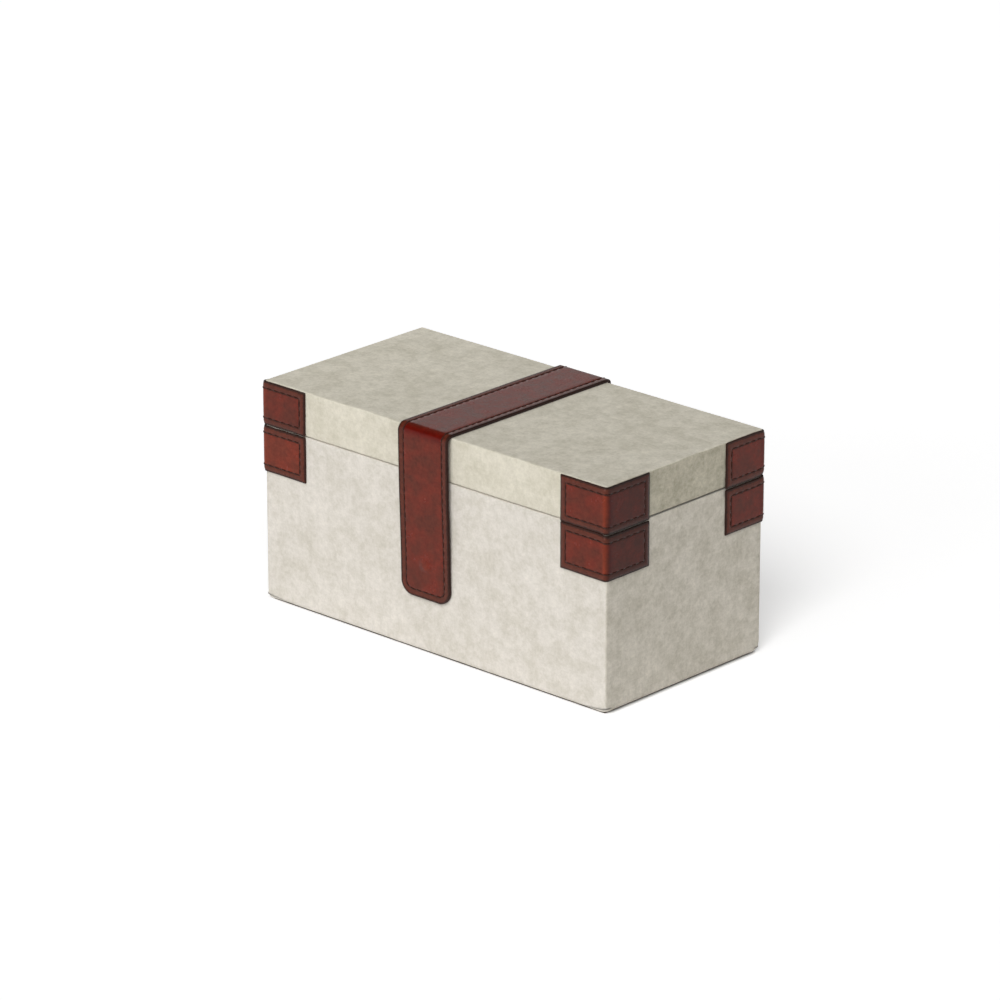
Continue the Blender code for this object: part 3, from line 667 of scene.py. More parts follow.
def metal_look(name, colour, brushed, roughness):
    """Metal with fine brushing along one axis, dulled in patches where it was handled."""
    look = Look(name, roughness, Metallic=1.0)
    scratch = look.noise(look.stretched(look.place(), brushed), 1.0, 4.0, 0.65)
    haze = look.noise(look.place(), 260.0, 3.0, 0.6)
    look.colour(shade(colour), look.remap(haze, 0.3, 0.75, 1.04, 0.82))
    look.roughness(look.maths('ADD', look.remap(haze, 0.3, 0.7, roughness - 0.06,
                                                roughness + 0.14),
                              look.remap(scratch, 0.3, 0.7, -0.05, 0.05)))
    look.relief(scratch, 0.25, 0.03 * MM)
    return look.made


BASE_CANVAS_LOOK = canvas_look("base_canvas", BASE_CANVAS)
LID_CANVAS_LOOK = canvas_look("lid_canvas", LID_CANVAS)
COTTON_LOOK = canvas_look("lining_cotton", LINING_COTTON, 0.45 * MM, 0.4)
LEATHER_LOOK = leather_look()
SUEDE_LOOK = suede_look()
THREAD_LOOK = thread_look()
FELT_LOOK = felt_look()
BOARD_LOOK = fibreboard_look()
BRASS_LOOK = metal_look("brass", BRASS, (160.0, 2600.0, 2600.0), 0.34)
STEEL_LOOK = metal_look("steel", STEEL, (2400.0, 300.0, 2400.0), 0.30)


# Canvas covers


def corner_rounds(height):
    """Radii of the canvas's upright edges: they grow towards the foot, where it is folded."""
    share = max(0.0, 1 - (height - CANVAS_FOOT) / FOOT_CORNER_RISE)
    return [CORNER_ROUND + (foot - CORNER_ROUND) * share ** 2 for foot in FOOT_CORNER_ROUNDS]


def ring(inset, edge_rounds=(CORNER_ROUND,) * 4):
    """Rounded rectangle inside the canvas's outline: places and directions outwards."""
    radii = [max(edge_round - inset, CANVAS) for edge_round in edge_rounds]
    halves = (HALF_LENGTH - inset, HALF_DEPTH - inset)
    points = []
    for side in range(4):
        half, far = halves[side % 2], halves[1 - side % 2]
        first, last = radii[side] - half, half - radii[(side + 1) % 4]
        turn = Matrix.Rotation(side * math.pi / 2, 2)
        for share in spread(0, 1, SIDE_STEPS[side % 2]):
            points.append((turn @ Vector((first + (last - first) * share, -far)),
                           turn @ Vector((0, -1))))
        radius = half - last
        for step in range(1, CORNER_STEPS):
            angle = -math.pi / 2 + step / CORNER_STEPS * math.pi / 2
            out = Vector((math.cos(angle), math.sin(angle)))
            centre = Vector((last, radius - far))
            points.append((turn @ (centre + out * radius), turn @ out))
    return points


def corner_fold(place):
    """Share of a tucked layer of canvas at the foot of each corner, and of the groove over it."""
    reach = HALF_LENGTH - abs(place.x)
    if reach > FOLD_LENGTH or place.z > CANVAS_FOOT + 2 * FOLD_RISE:
        return 0.0, 0.0
    if abs(place.y) < HALF_DEPTH - max(FOOT_CORNER_ROUNDS):
        return 0.0, 0.0
    share = 1 - reach / FOLD_LENGTH
    line = CANVAS_FOOT + FOLD_FOOT + FOLD_RISE * share
    layer = 1 - smoothstep(line - FOLD_GROOVE, line, place.z)
    return layer * share ** 0.5, bump(place.z, line, FOLD_GROOVE) * share ** 0.5


def uneven(place, height):
    """How far the canvas lies out from its board there: calm near the rims."""
    calm = smoothstep(0, RIM_CALM, abs(height - SEAM) - 0.5 * MM)
    swell = noise.noise(place / SWELL_SPAN) * CANVAS_SWELL
    ripple = noise.noise(place / RIPPLE_SPAN) * CANVAS_RIPPLE
    layer, groove = corner_fold(Vector((place.x, place.y, height)))
    return (swell + ripple) * calm + FOLD_LAYER * layer - FOLD_DEPTH * groove


def profile_normals(profile, closed):
    """Outward direction at each point of a profile of (inset, height), as it runs down."""
    normals = []
    for index in range(len(profile)):
        before = profile[max(index - 1, 0)]
        after = profile[min(index + 1, len(profile) - 1)]
        run = Vector((after[0] - before[0], after[1] - before[1])).normalized()
        normals.append(Vector((run.y, -run.x)))
    if closed:
        normals[0] = Vector((0, 1))
    return normals


def cover_skin(profile, normals, depth):
    """Rings of points at one depth below the canvas's outer face."""
    rows = []
    for (inset, height), normal in zip(profile, normals):
        row = []
        for place, out in ring(inset - normal.x * depth, corner_rounds(height)):
            spot = Vector((place.x, place.y, height - normal.y * depth))
            lift = uneven(spot, height)
            row.append(spot + Vector((out.x * normal.x, out.y * normal.x, normal.y)) * lift)
        rows.append(row)
    return rows


def stitch_rows(rows, start, faces, flip):
    """Faces between neighbouring rings of points."""
    count = len(rows[0])
    for row in range(len(rows) - 1):
        for index in range(count):
            after = (index + 1) % count
            quad = (start + row * count + index, start + (row + 1) * count + index,
                    start + (row + 1) * count + after, start + row * count + after)
            faces.append(quad[::-1] if flip else quad)


def top_sheet(points, faces, ring_start, level):
    """Flat grid inside the lid's top ring, joined to it, with a fan at each corner."""
    sides = []
    index = ring_start
    for side in range(4):
        bend = index + len(spread(0, 1, SIDE_STEPS[side % 2]))
        sides.append((list(range(index, bend)),
                      list(range(bend, bend + CORNER_STEPS - 1))))
        index = bend + CORNER_STEPS - 1
    xs = [points[i][0] for i in sides[0][0]]
    ys = [points[i][1] for i in sides[1][0]]
    grid = []
    for x in xs:
        line = []
        for y in ys:
            spot = Vector((x, y, level))
            points.append(spot + Vector((0, 0, uneven(spot, level))))
            line.append(len(points) - 1)
        grid.append(line)
    for i in range(len(xs) - 1):
        for j in range(len(ys) - 1):
            faces.append((grid[i][j], grid[i + 1][j], grid[i + 1][j + 1], grid[i][j + 1]))
    borders = [[line[0] for line in grid], grid[-1],
               [line[-1] for line in grid][::-1], grid[0][::-1]]
    for side, (edge, bend) in enumerate(sides):
        inner = borders[side]
        for i in range(len(edge) - 1):
            faces.append((edge[i], edge[i + 1], inner[i + 1], inner[i]))
        around = [edge[-1]] + bend + [sides[(side + 1) % 4][0][0]]
        for first, second in zip(around, around[1:]):
            faces.append((first, second, inner[-1]))


def canvas_cover(name, profile, closed, look, body, node):
    """Canvas of even thickness laid over a profile, its hems open, notched at the hinges."""
    normals = profile_normals(profile, closed)
    points, faces, starts = [], [], []
    count = len(ring(0))
    for depth in (0, CANVAS):
        rows = cover_skin(profile, normals, depth)
        starts.append(len(points))
        for row in rows:
            points += row
        stitch_rows(rows, starts[-1], faces, depth > 0)
        if closed:
            top_sheet(points, faces, starts[-1], BOX_HEIGHT - depth)
    hems = [len(profile) - 1] if closed else [0, len(profile) - 1]
    for row in hems:
        for index in range(count):
            after = (index + 1) % count
            outer, inner = starts[0] + row * count, starts[1] + row * count
            faces.append((outer + index, inner + index, inner + after, outer + after))
    made = new_object(name, points, faces)
    face_outwards(made)
    cut(made, hinge_notches())
    lay_flat(made)
    canvas_tones_and_painted_light(made, body)
    return finish_piece(made, look, body, [node])


def under_right_corner(place):
    """Whether the canvas there lies under a leather corner on the right, outside the rim."""
    if place.x < HALF_LENGTH - GLUE_REACH or abs(place.y) < HALF_DEPTH - GLUE_REACH:
        return False
    return place.x > HALF_LENGTH - CORNER_ROUND or abs(place.y) > HALF_DEPTH - CORNER_ROUND


def canvas_tones_and_painted_light(made, body):
    """Canvas yellowed and blotchy from sizing and age, with tones that paint light and shade."""
    values = {"tone": [], "warmth": [], "grain": []}
    for point in made.data.vertices:
        place, normal = point.co, point.normal
        tone, warmth, grain = 1.0, 0.0, 1.0
        if normal.x > FACING:
            # Painted shade: the right side's canvas is drawn darker than the lamps leave it
            tone, warmth, grain = RIGHT_SIDE[body]
        elif normal.z > FACING and place.z > SEAM + RIM_CALM:
            # Painted light: the top is drawn lighter towards the left end and darker towards the
            # right
            tone, grain = TOP_PAINTED_LIGHT - TOP_PAINTED_FALL * place.x / HALF_LENGTH, TOP_GRAIN
        from_seam = abs(place.z - SEAM)
        if from_seam < SEAM_SHADE and place.x > HALF_LENGTH - CORNER_ROUND:
            # Painted shade in the seam on the right side
            tone *= SEAM_PAINTED_SHADE
        elif from_seam < GAP_SHADE_HEIGHT and under_right_corner(place):
            # Painted shade: canvas near the seam under the right corners, where it shows in the
            # leather's gap
            tone *= GAP_PAINTED_SHADES[place.x <= HALF_LENGTH - CORNER_ROUND]
        layer, groove = corner_fold(place)
        # Painted light on the tucked layer and painted shade in its groove
        tone *= 1 + FOLD_LIGHT_AND_SHADE[0] * layer - FOLD_LIGHT_AND_SHADE[1] * groove
        for label, value in zip(values, (tone, warmth, grain)):
            values[label].append(value)
    for label, numbers in values.items():
        set_value(made, label, numbers)


def hinge_notches():
    notches = []
    for side in (-1, 1):
        middle = side * HINGE_X
        notches.append(block("notch", (middle - NOTCH_LENGTH / 2, HINGE_Y - NOTCH_FRONT,
                                       SEAM - NOTCH_HALF_HEIGHT),
                             (middle + NOTCH_LENGTH / 2, HINGE_Y + OVERRUN,
                              SEAM + NOTCH_HALF_HEIGHT)))
    return notches


def base_canvas():
    inside = RIM_WIDTH - RIM_ROUND
    rim = BASE_RIM - RIM_ROUND
    profile = [(RIM_WIDTH, z) for z in spread(BASE_RIM - TURN_IN, rim, HEM_STEP)[:-1]]
    profile += arc((inside, rim), RIM_ROUND, 0, 90, EDGE_STEPS)
    profile += [(x, BASE_RIM) for x in reversed(spread(RIM_ROUND, inside, HEM_STEP)[1:-1])]
    profile += arc((RIM_ROUND, rim), RIM_ROUND, 90, 180, EDGE_STEPS)
    foot = CANVAS_FOOT + FOOT_ROUND
    calm = CANVAS_FOOT + FOOT_CORNER_RISE
    profile += [(0, z) for z in reversed(spread(calm, rim, CANVAS_STEP)[:-1])]
    profile += [(0, z) for z in reversed(spread(foot, calm, TUCK_STEP)[1:-1])]
    profile += arc((FOOT_ROUND, foot), FOOT_ROUND, 180, 270, FOOT_STEPS)
    profile += [(x, CANVAS_FOOT) for x in spread(FOOT_ROUND, TURN_UNDER, UNDER_STEP)[1:]]
    canvas_cover("base_canvas", profile, False, BASE_CANVAS_LOOK, "base", "base_canvas_cover")


def lid_canvas():
    inside = RIM_WIDTH - RIM_ROUND
    rim = LID_RIM + RIM_ROUND
    shoulder = BOX_HEIGHT - LID_EDGE_ROUND
    profile = arc((LID_EDGE_ROUND, shoulder), LID_EDGE_ROUND, 90, 180, EDGE_STEPS)
    profile += [(0, z) for z in reversed(spread(rim, shoulder, CANVAS_STEP)[1:-1])]
    profile += arc((RIM_ROUND, rim), RIM_ROUND, 180, 270, EDGE_STEPS)
    profile += [(x, LID_RIM) for x in spread(RIM_ROUND, inside, HEM_STEP)[1:-1]]
    profile += arc((inside, rim), RIM_ROUND, 270, 360, EDGE_STEPS)
    profile += [(RIM_WIDTH, z) for z in spread(rim, LID_RIM + TURN_IN, HEM_STEP)[1:]]
    canvas_cover("lid_canvas", profile, True, LID_CANVAS_LOOK, "lid", "lid_canvas_cover")


# Lining cards and felt


def soft_block(name, low, high, rounding, step, swell):
    """Block with rounded edges and faintly uneven faces, for covered card and for felt."""
    low, high = Vector(low), Vector(high)
    lines = []
    for axis in range(3):
        near = [low[axis] + rounding * share for share in (0, 0.3, 0.6)]
        far = [high[axis] - rounding * share for share in (0, 0.3, 0.6)]
        lines.append(joined(near, far, spread(low[axis] + rounding, high[axis] - rounding, step)))
    index, points, faces = {}, [], []

    def corner(i, j, k):
        if (i, j, k) not in index:
            spot = Vector((lines[0][i], lines[1][j], lines[2][k]))
            core = Vector([min(max(spot[a], low[a] + rounding), high[a] - rounding)
                           for a in range(3)])
            out = (spot - core).normalized()
            lift = swell * noise.noise(spot / (14 * MM))
            index[(i, j, k)] = len(points)
            points.append(core + out * (rounding + lift))
        return index[(i, j, k)]

    last = [len(line) - 1 for line in lines]
    for axis in range(3):
        first, second = (axis + 1) % 3, (axis + 2) % 3
        for end in (0, last[axis]):
            for i in range(last[first]):
                for j in range(last[second]):
                    quad = []
                    for di, dj in ((0, 0), (1, 0), (1, 1), (0, 1)):
                        place = [0, 0, 0]
                        place[axis], place[first], place[second] = end, i + di, j + dj
                        quad.append(corner(*place))
                    faces.append(quad if end else quad[::-1])
    made = new_object(name, points, faces)
    face_outwards(made)
    lay_flat(made)
    return made


def linings():
    for body in ("base", "lid"):
        top = "floor" if body == "base" else "top"
        for side in (top, "front", "back", "left", "right"):
            node = body + "_lining_" + side
            low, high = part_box(node)
            made = soft_block(node + "_card", low, high, CARD_ROUND, CARD_STEP, CARD_SWELL)
            finish_piece(made, COTTON_LOOK, body, [node])


def felt_pad():
    low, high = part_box("underside_felt")
    made = soft_block("felt_pad", low, high, FELT_ROUND, CARD_STEP, 0)
    finish_piece(made, FELT_LOOK, "base", ["underside_felt"])


# Leather: flat patterns with rounded ends, laid over a path


def inset_lines(stitch):
    """Distances in from a cut edge where the leather's shape changes."""
    lines = [value * MM for value in EDGE_LINES]
    lines += [stitch + value * MM for value in STITCH_LINES]
    return joined(lines, [CORNER_BLOCK - 1.5 * MM, CORNER_BLOCK])


def round_corner(across, along, radius):
    """Moves a point of a square corner onto the same inset line of a rounded one."""
    inset, reach = min(across, along), max(across, along)
    if reach >= CORNER_BLOCK or radius <= inset:
        return across, along
    bend = radius - inset
    half_bend = bend * math.pi / 4
    travel = (reach - inset) / (CORNER_BLOCK - inset) * (half_bend + CORNER_BLOCK - radius)
    if travel < half_bend:
        turn = math.pi / 4 - travel / bend
        far, near = radius - bend * math.sin(turn), radius - bend * math.cos(turn)
    else:
        far, near = radius + travel - half_bend, inset
    return (far, near) if across >= along else (near, far)


def cut_wobble(seed, position):
    """How far a hand-cut edge strays there."""
    slow = noise.noise(Vector((position / WOBBLE_SPANS[0], seed * 7.31, 1.7)))
    quick = noise.noise(Vector((position / WOBBLE_SPANS[1], seed * 3.17, 9.2)))
    return (slow * WOBBLE_SIZES[0] + quick * WOBBLE_SIZES[1]) * MM


class Hide:
    """Flat pattern of one leather layer, and how it lies on the box."""

    def __init__(self, width, length, thickness, stitch, radii, middle_across, middle_along,
                 place, seed=0, wobble=1.0, rounding=0.4 * MM, skive=0.0, rise=None, marks=None):
        self.width, self.length, self.thickness = width, length, thickness
        self.stitch, self.radii, self.place = stitch, radii, place
        self.seed, self.wobble, self.rounding, self.skive = seed, wobble, rounding, skive
        self.rise = rise or (lambda across, along: 0.0)
        self.marks = marks or (lambda across, along: (0.0, 0.0, 1.0))
        edge = inset_lines(stitch)
        self.across = joined(edge, middle_across, [width - value for value in edge])
        self.along = joined(edge, middle_along, [length - value for value in edge])

    def pattern(self, across, along):
        """Place in the flat pattern: corners rounded and edges cut by hand."""
        right, top = across > self.width / 2, along > self.length / 2
        in_across = self.width - across if right else across
        in_along = self.length - along if top else along
        x, y = round_corner(in_across, in_along, self.radii[right + 2 * top])
        side, end = (1 - smoothstep(0, WOBBLE_FADE, inset) for inset in (x, y))
        x += side * self.wobble * cut_wobble(self.seed + right, along)
        y += end * self.wobble * cut_wobble(self.seed + 2 + top, across)
        return (self.width - x if right else x), (self.length - y if top else y)

    def inset(self, across, along):
        return min(across, along, self.width - across, self.length - along)

    def outer_level(self, across, along):
        """Height of the outer face over the inner one, with its edge, channel and pillow."""
        inset = self.inset(across, along)
        level = self.thickness
        if inset < self.rounding:
            share = 1 - inset / self.rounding
            level -= self.rounding * (1 - math.sqrt(max(1 - share * share, 0)))
        level -= CHANNEL_DEPTH * bump(inset, self.stitch, CHANNEL_WIDTH)
        level -= PILLOW_DEPTH * bump(inset, self.stitch, PILLOW_WIDTH)
        level -= self.skive * (1 - smoothstep(0, SKIVE_WIDTH, inset))
        return level + self.rise(across, along)

    def inner_level(self, across, along):
        inset = self.inset(across, along)
        return max(0.0, self.rounding / 3 - inset)

    def build(self, name):
        points, flat = [], []
        values = {"edge_mm": [], "seam_mm": [], "burnish_and_highlight": [], "crease": [], "tone": []}
        for level in (self.outer_level, self.inner_level):
            for across in self.across:
                for along in self.along:
                    x, y = self.pattern(across, along)
                    points.append(self.place(x, y, level(across, along)))
                    flat.append((x + self.seed * 0.13, y))
                    found = (self.inset(across, along) / MM, self.stitch / MM,
                             *self.marks(across, along))
                    for label, value in zip(values, found):
                        values[label].append(value)
        rows, count = len(self.across), len(self.along)
        half = rows * count
        faces = []
        for i in range(rows - 1):
            for j in range(count - 1):
                quad = (i * count + j, (i + 1) * count + j, (i + 1) * count + j + 1,
                        i * count + j + 1)
                faces.append(quad)
                faces.append(tuple(half + v for v in reversed(quad)))
        border = [i * count for i in range(rows)]
        border += [(rows - 1) * count + j for j in range(1, count)]
        border += [i * count + count - 1 for i in range(rows - 2, -1, -1)]
        border += [j for j in range(count - 2, 0, -1)]
        for first, second in zip(border, border[1:] + border[:1]):
            faces.append((first, half + first, half + second, second))
        made = new_object(name, points, faces)
        set_flat(made, flat)
        for label, numbers in values.items():
            set_value(made, label, numbers)
        face_outwards(made)
        return made


# Stitches


def walk(path):
    """Length along a path of flat points at each of them."""
    lengths = [0.0]
    for first, second in zip(path, path[1:]):
        lengths.append(lengths[-1] + (Vector(second) - Vector(first)).length)
    return lengths


def point_on(path, lengths, distance):
    """Flat point at a distance along the path, and the direction there."""
    index = 0
    while index < len(path) - 2 and lengths[index + 1] < distance:
        index += 1
    span = lengths[index + 1] - lengths[index]
    share = (distance - lengths[index]) / span
    first, second = Vector(path[index]), Vector(path[index + 1])
    return first.lerp(second, share), (second - first).normalized()


def one_stitch(hide, path, lengths, start, end, face):
    """Rings of points along one stitch, which dives into the leather at both ends."""
    centres, outs = [], []
    for step in range(THREAD_STEPS + 1):
        share = step / THREAD_STEPS
        spot, run = point_on(path, lengths, start + (end - start) * share)
        side = Vector((-run.y, run.x))
        spot = spot + side * STITCH_SLANT * (share * 2 - 1)
        x, y = hide.pattern(spot.x, spot.y)
        arch = 1 - (2 * share - 1) ** 4
        if face == "outer":
            ground = hide.thickness - CHANNEL_DEPTH - PILLOW_DEPTH
            level = ground + THREAD_RADIUS * (1.35 * arch - 0.75)
            above = level + MM
        else:
            level = THREAD_RADIUS * (0.75 - 1.3 * arch)
            above = level - MM
        centres.append(Vector(hide.place(x, y, level)))
        outs.append((Vector(hide.place(x, y, above)) - centres[-1]).normalized())
    rings = []
    for step, centre in enumerate(centres):
        before, after = centres[max(step - 1, 0)], centres[min(step + 1, THREAD_STEPS)]
        run = (after - before).normalized()
        side = run.cross(outs[step]).normalized()
        up = side.cross(run).normalized()
        share = step / THREAD_STEPS
        size = THREAD_RADIUS * (0.62 + 0.38 * math.sin(math.pi * share) ** 0.5)
        rings.append([centre + side * math.cos(turn) * size * 1.06
                      + up * math.sin(turn) * size * 0.94
                      for turn in (math.tau * k / THREAD_SIDES for k in range(THREAD_SIDES))])
    return rings


def sew(name, hide, runs, face="outer"):
    """All the stitches along the given runs, as one piece."""
    points, faces, flat = [], [], []
    for path in runs:
        lengths = walk(path)
        count = max(1, round(lengths[-1] / STITCH_PITCH))
        pitch = lengths[-1] / count
        for index in range(count):
            gap = STITCH_GAP * (0.5 + 0.12 * noise.noise(Vector((index * 1.7, 0.3, hide.seed))))
            start, end = index * pitch + gap, (index + 1) * pitch - gap
            rings = one_stitch(hide, path, lengths, start, end, face)
            base = len(points)
            for step, ring_points in enumerate(rings):
                points += ring_points
                for k in range(THREAD_SIDES):
                    flat.append((k / THREAD_SIDES, start + (end - start) * step / THREAD_STEPS))
            for step in range(THREAD_STEPS):
                for k in range(THREAD_SIDES):
                    after = (k + 1) % THREAD_SIDES
                    row, above = base + step * THREAD_SIDES, base + (step + 1) * THREAD_SIDES
                    faces.append((row + k, row + after, above + after, above + k))
            faces.append([base + k for k in reversed(range(THREAD_SIDES))])
            faces.append([base + THREAD_STEPS * THREAD_SIDES + k for k in range(THREAD_SIDES)])
    made = new_object(name, points, faces)
    set_flat(made, flat)
    face_outwards(made)
    return made


# Leather corners


def patch_place(turn, legs, levels, length):
    """Lays a flat pattern round one upright edge: a quarter turn takes it to each corner.

    The levels are its lower and upper ends on its first and on its second face.
    """
    side_x = 1 if turn in (0, 3) else -1
    side_y = 1 if turn in (0, 1) else -1
    corner = Vector((side_x * HALF_LENGTH, side_y * HALF_DEPTH, 0))
    rotate = Matrix.Rotation(turn * math.pi / 2, 3, 'Z')
    start = legs[0] - CORNER_ROUND
    end = start + BEND_LENGTH
    near, far = (start - LEVEL_SHIFT, end - MM) if turn == 1 else (start + MM, end + LEVEL_SHIFT)

    def place(across, along, level):
        share = smoothstep(near, far, across)
        low = levels[0][0] + (levels[1][0] - levels[0][0]) * share
        high = levels[0][1] + (levels[1][1] - levels[0][1]) * share
        height = low + (high - low) * along / length
        out = CLEARANCE + level
        if across < start:
            spot = Vector((across - legs[0], out, height))
        elif across > end:
            spot = Vector((out, end - across - CORNER_ROUND, height))
        else:
            angle = math.pi / 2 - (across - start) / BEND_RADIUS
            reach = CORNER_ROUND + out
            spot = Vector((reach * math.cos(angle) - CORNER_ROUND,
                           reach * math.sin(angle) - CORNER_ROUND, height))
        return corner + rotate @ spot
    return place


def rectangle_runs(hide):
    """Four straight runs of stitches, which meet at the corners."""
    low, right, top = hide.stitch, hide.width - hide.stitch, hide.length - hide.stitch
    corners = [(low, low), (right, low), (right, top), (low, top), (low, low)]
    runs = []
    for first, second in zip(corners, corners[1:]):
        shares = spread(0, 1, 0.02)
        runs.append([Vector(first).lerp(Vector(second), share) for share in shares])
    return runs


def patch_marks(body, faces, start):
    """Burnish and painted highlight on the bend, a crease and painted shade beside it away from
    the front, and how dark each leg is, the right face's legs in painted shade.
    """
    middle = start + BEND_LENGTH / 2
    side = -1 if faces[1] == "front" else 1
    tones = [LEG_TONES_AND_SHADE.get((body, *faces, face), 1.0) for face in faces]
    worn = WORN_SHARE if (body, *faces) == WORN_PATCH else 0.0

    def marks(across, along):
        burnish_and_highlight = worn + BEND_BURNISH_HIGHLIGHT * bump(across, middle - side * BEND_HIGHLIGHT_SHIFT,
                                              BEND_HIGHLIGHT_WIDTH)
        crease = CREASE_SHADE_SHARE * bump(across, middle + side * CREASE_SHIFT, CREASE_WIDTH)
        share = smoothstep(start, start + BEND_LENGTH, across)
        return burnish_and_highlight, crease, tones[0] + (tones[1] - tones[0]) * share
    return marks


def corner_patches():
    for body in ("lid", "base"):
        for corner, (turn, faces, legs, gaps, seams) in PATCHES.items():
            start = legs[0] - CORNER_ROUND
            end = start + BEND_LENGTH
            width = end + legs[1] - CORNER_ROUND
            across = joined(spread(CORNER_BLOCK, start - MM, LEG_STEP),
                            spread(start - MM, end + MM, BEND_STEP),
                            spread(end + MM, width - CORNER_BLOCK, LEG_STEP))
            if body == "lid":
                levels = [(SEAM + shift + gap, PATCH_TOP[face])
                          for face, gap, shift in zip(faces, gaps, seams)]
            else:
                levels = [(PATCH_FOOT, SEAM + shift - gap) for gap, shift in zip(gaps, seams)]
            length = levels[0][1] - levels[0][0]
            seed = turn * 5 + (20 if body == "lid" else 0)
            hide = Hide(width, length, PATCH_LEATHER, PATCH_STITCH, [0.7 * MM] * 4, across,
                        spread(CORNER_BLOCK, length - CORNER_BLOCK, HEIGHT_STEP),
                        patch_place(turn, legs, levels, length), seed, PATCH_WOBBLE,
                        skive=PATCH_SKIVE, marks=patch_marks(body, faces, start))
            name = body + "_corner_" + corner
            made = hide.build(name + "_leather")
            finish_piece(made, LEATHER_LOOK, body, [name])
            thread = sew(name + "_stitches", hide, rectangle_runs(hide))
            finish_piece(thread, THREAD_LOOK, body)


# Strap


def strap_lengths():
    """Lengths along the strap's outer face: up the tail, over the lid, down to the flap."""
    outer = STRAP_LEVEL + STRAP_LEATHER
    tail = TAIL_BEND[1] - TAIL_FOOT
    back = (TAIL_BEND[2] + outer) * math.pi / 2
    top = TAIL_BEND[0] - FRONT_BEND[0]
    front = (FRONT_BEND[2] + outer) * math.pi / 2
    drop = FRONT_BEND[1] - FLAP_END
    return tail, back, top, front, drop


def flap_stand_off(drop):
    share = min(max(drop / (FLAP_TOP - FLAP_END), 0.0), 1.0)
    return FLAP_NEAR + (FLAP_FAR - FLAP_NEAR) * (1 + math.cos(math.pi * share)) / 2


def strap_place(base_level):
    tail, back, top, front, _ = strap_lengths()

    def place(across, along, level):
        x = STRAP_X - STRAP_WIDTH / 2 + across
        level = base_level + level
        if along < tail:
            return Vector((x, TAIL_BEND[0] + TAIL_BEND[2] + level, TAIL_FOOT + along))
        along -= tail
        if along < back:
            angle = along / back * math.pi / 2
            reach = TAIL_BEND[2] + level
            return Vector((x, TAIL_BEND[0] + reach * math.cos(angle),
                           TAIL_BEND[1] + reach * math.sin(angle)))
        along -= back
        if along < top:
            return Vector((x, TAIL_BEND[0] - along, TAIL_BEND[1] + TAIL_BEND[2] + level))
        along -= top
        if along < front:
            angle = along / front * math.pi / 2
            reach = FRONT_BEND[2] + level
            return Vector((x, FRONT_BEND[0] - reach * math.sin(angle),
                           FRONT_BEND[1] + reach * math.cos(angle)))
        height = FRONT_BEND[1] - (along - front)
        gap = flap_stand_off(FLAP_TOP - height)
        return Vector((x, -HALF_DEPTH - gap - level, height))
    return place


def strap_lines():
    """Positions along the strap where its mesh is divided: close together in the bends."""
    tail, back, top, front, drop = strap_lengths()
    over, down = tail + back, tail + back + top
    length = down + front + drop
    flex = down + front + FRONT_BEND[1] - FLEX_END
    magnet = down + front + FRONT_BEND[1] - MAGNET_HEIGHT
    stops = [CORNER_BLOCK, tail - MM, over + MM, down - MM, down + front + 2 * MM, flex,
             magnet - MAGNET_REACH, magnet + MAGNET_REACH, length - CORNER_BLOCK]
    lines = joined(*(spread(low, high, step * MM)
                     for low, high, step in zip(stops, stops[1:], STRAP_STEPS)))
    return lines, length, magnet


def strap_runs(hide, first=0.0):
    """One run of stitches down both long sides and round the flap's end, and the tail's."""
    inset, width, length = hide.stitch, hide.width, hide.length
    straight, foot = length - CORNER_BLOCK, length - inset
    side = [(inset, value) for value in spread(max(inset, first), straight, RUN_STEP)]
    bend = [(inset, value) for value in spread(straight, foot, RUN_BEND_STEP)[1:]]
    end = [(value, foot) for value in
           joined(spread(inset, CORNER_BLOCK, RUN_BEND_STEP),
                  spread(CORNER_BLOCK, width - CORNER_BLOCK, RUN_STEP),
                  spread(width - CORNER_BLOCK, width - inset, RUN_BEND_STEP))[1:]]
    other = [(width - x, y) for x, y in reversed(side + bend)][1:]
    runs = [side + bend + end + other]
    if not first:
        runs.append([(value, inset) for value in spread(inset, width - inset, RUN_STEP)])
    return runs


def flex(made):
    """Bakes a strap piece's placement into its mesh.
    """
    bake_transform(made)


def strap():
    lines, length, magnet = strap_lines()
    across = spread(CORNER_BLOCK, STRAP_WIDTH - CORNER_BLOCK, STRAP_ACROSS_STEP)
    radii = [0.6 * MM, 0.6 * MM, FLAP_END_ROUND, FLAP_END_ROUND]

    def from_magnet(x, y):
        return math.hypot(x - STRAP_WIDTH / 2, y - magnet)

    def magnet_rise(x, y):
        return MAGNET_RISE * (1 - smoothstep(*MAGNET_FADE, from_magnet(x, y)))

    tail, back, top, front, _ = strap_lengths()
    bend = tail + back + top + front * STRAP_CREASE_AT

    def marks(x, y):
        # Painted highlight over the magnet, and a crease with painted shade at the front bend
        painted_glint = MAGNET_PAINTED_GLINT[0] * bump(from_magnet(x, y), 0, MAGNET_PAINTED_GLINT[1])
        return painted_glint, STRAP_CREASE_SHADE * bump(y, bend, STRAP_CREASE_WIDTH), 1.0

    hide = Hide(STRAP_WIDTH, length, STRAP_LEATHER, STRAP_STITCH, radii, across, lines,
                strap_place(STRAP_LEVEL), 50, 0.55, 0.35 * MM, rise=magnet_rise, marks=marks)
    leather = hide.build("strap_leather")
    finish_piece(leather, LEATHER_LOOK, None,
                 ["strap_over_lid", "strap_flap"])
    flex(leather)
    thread = sew("strap_stitches", hide, strap_runs(hide))
    finish_piece(thread, THREAD_LOOK, None)
    flex(thread)
    strap_backing(lines, length, across, radii)


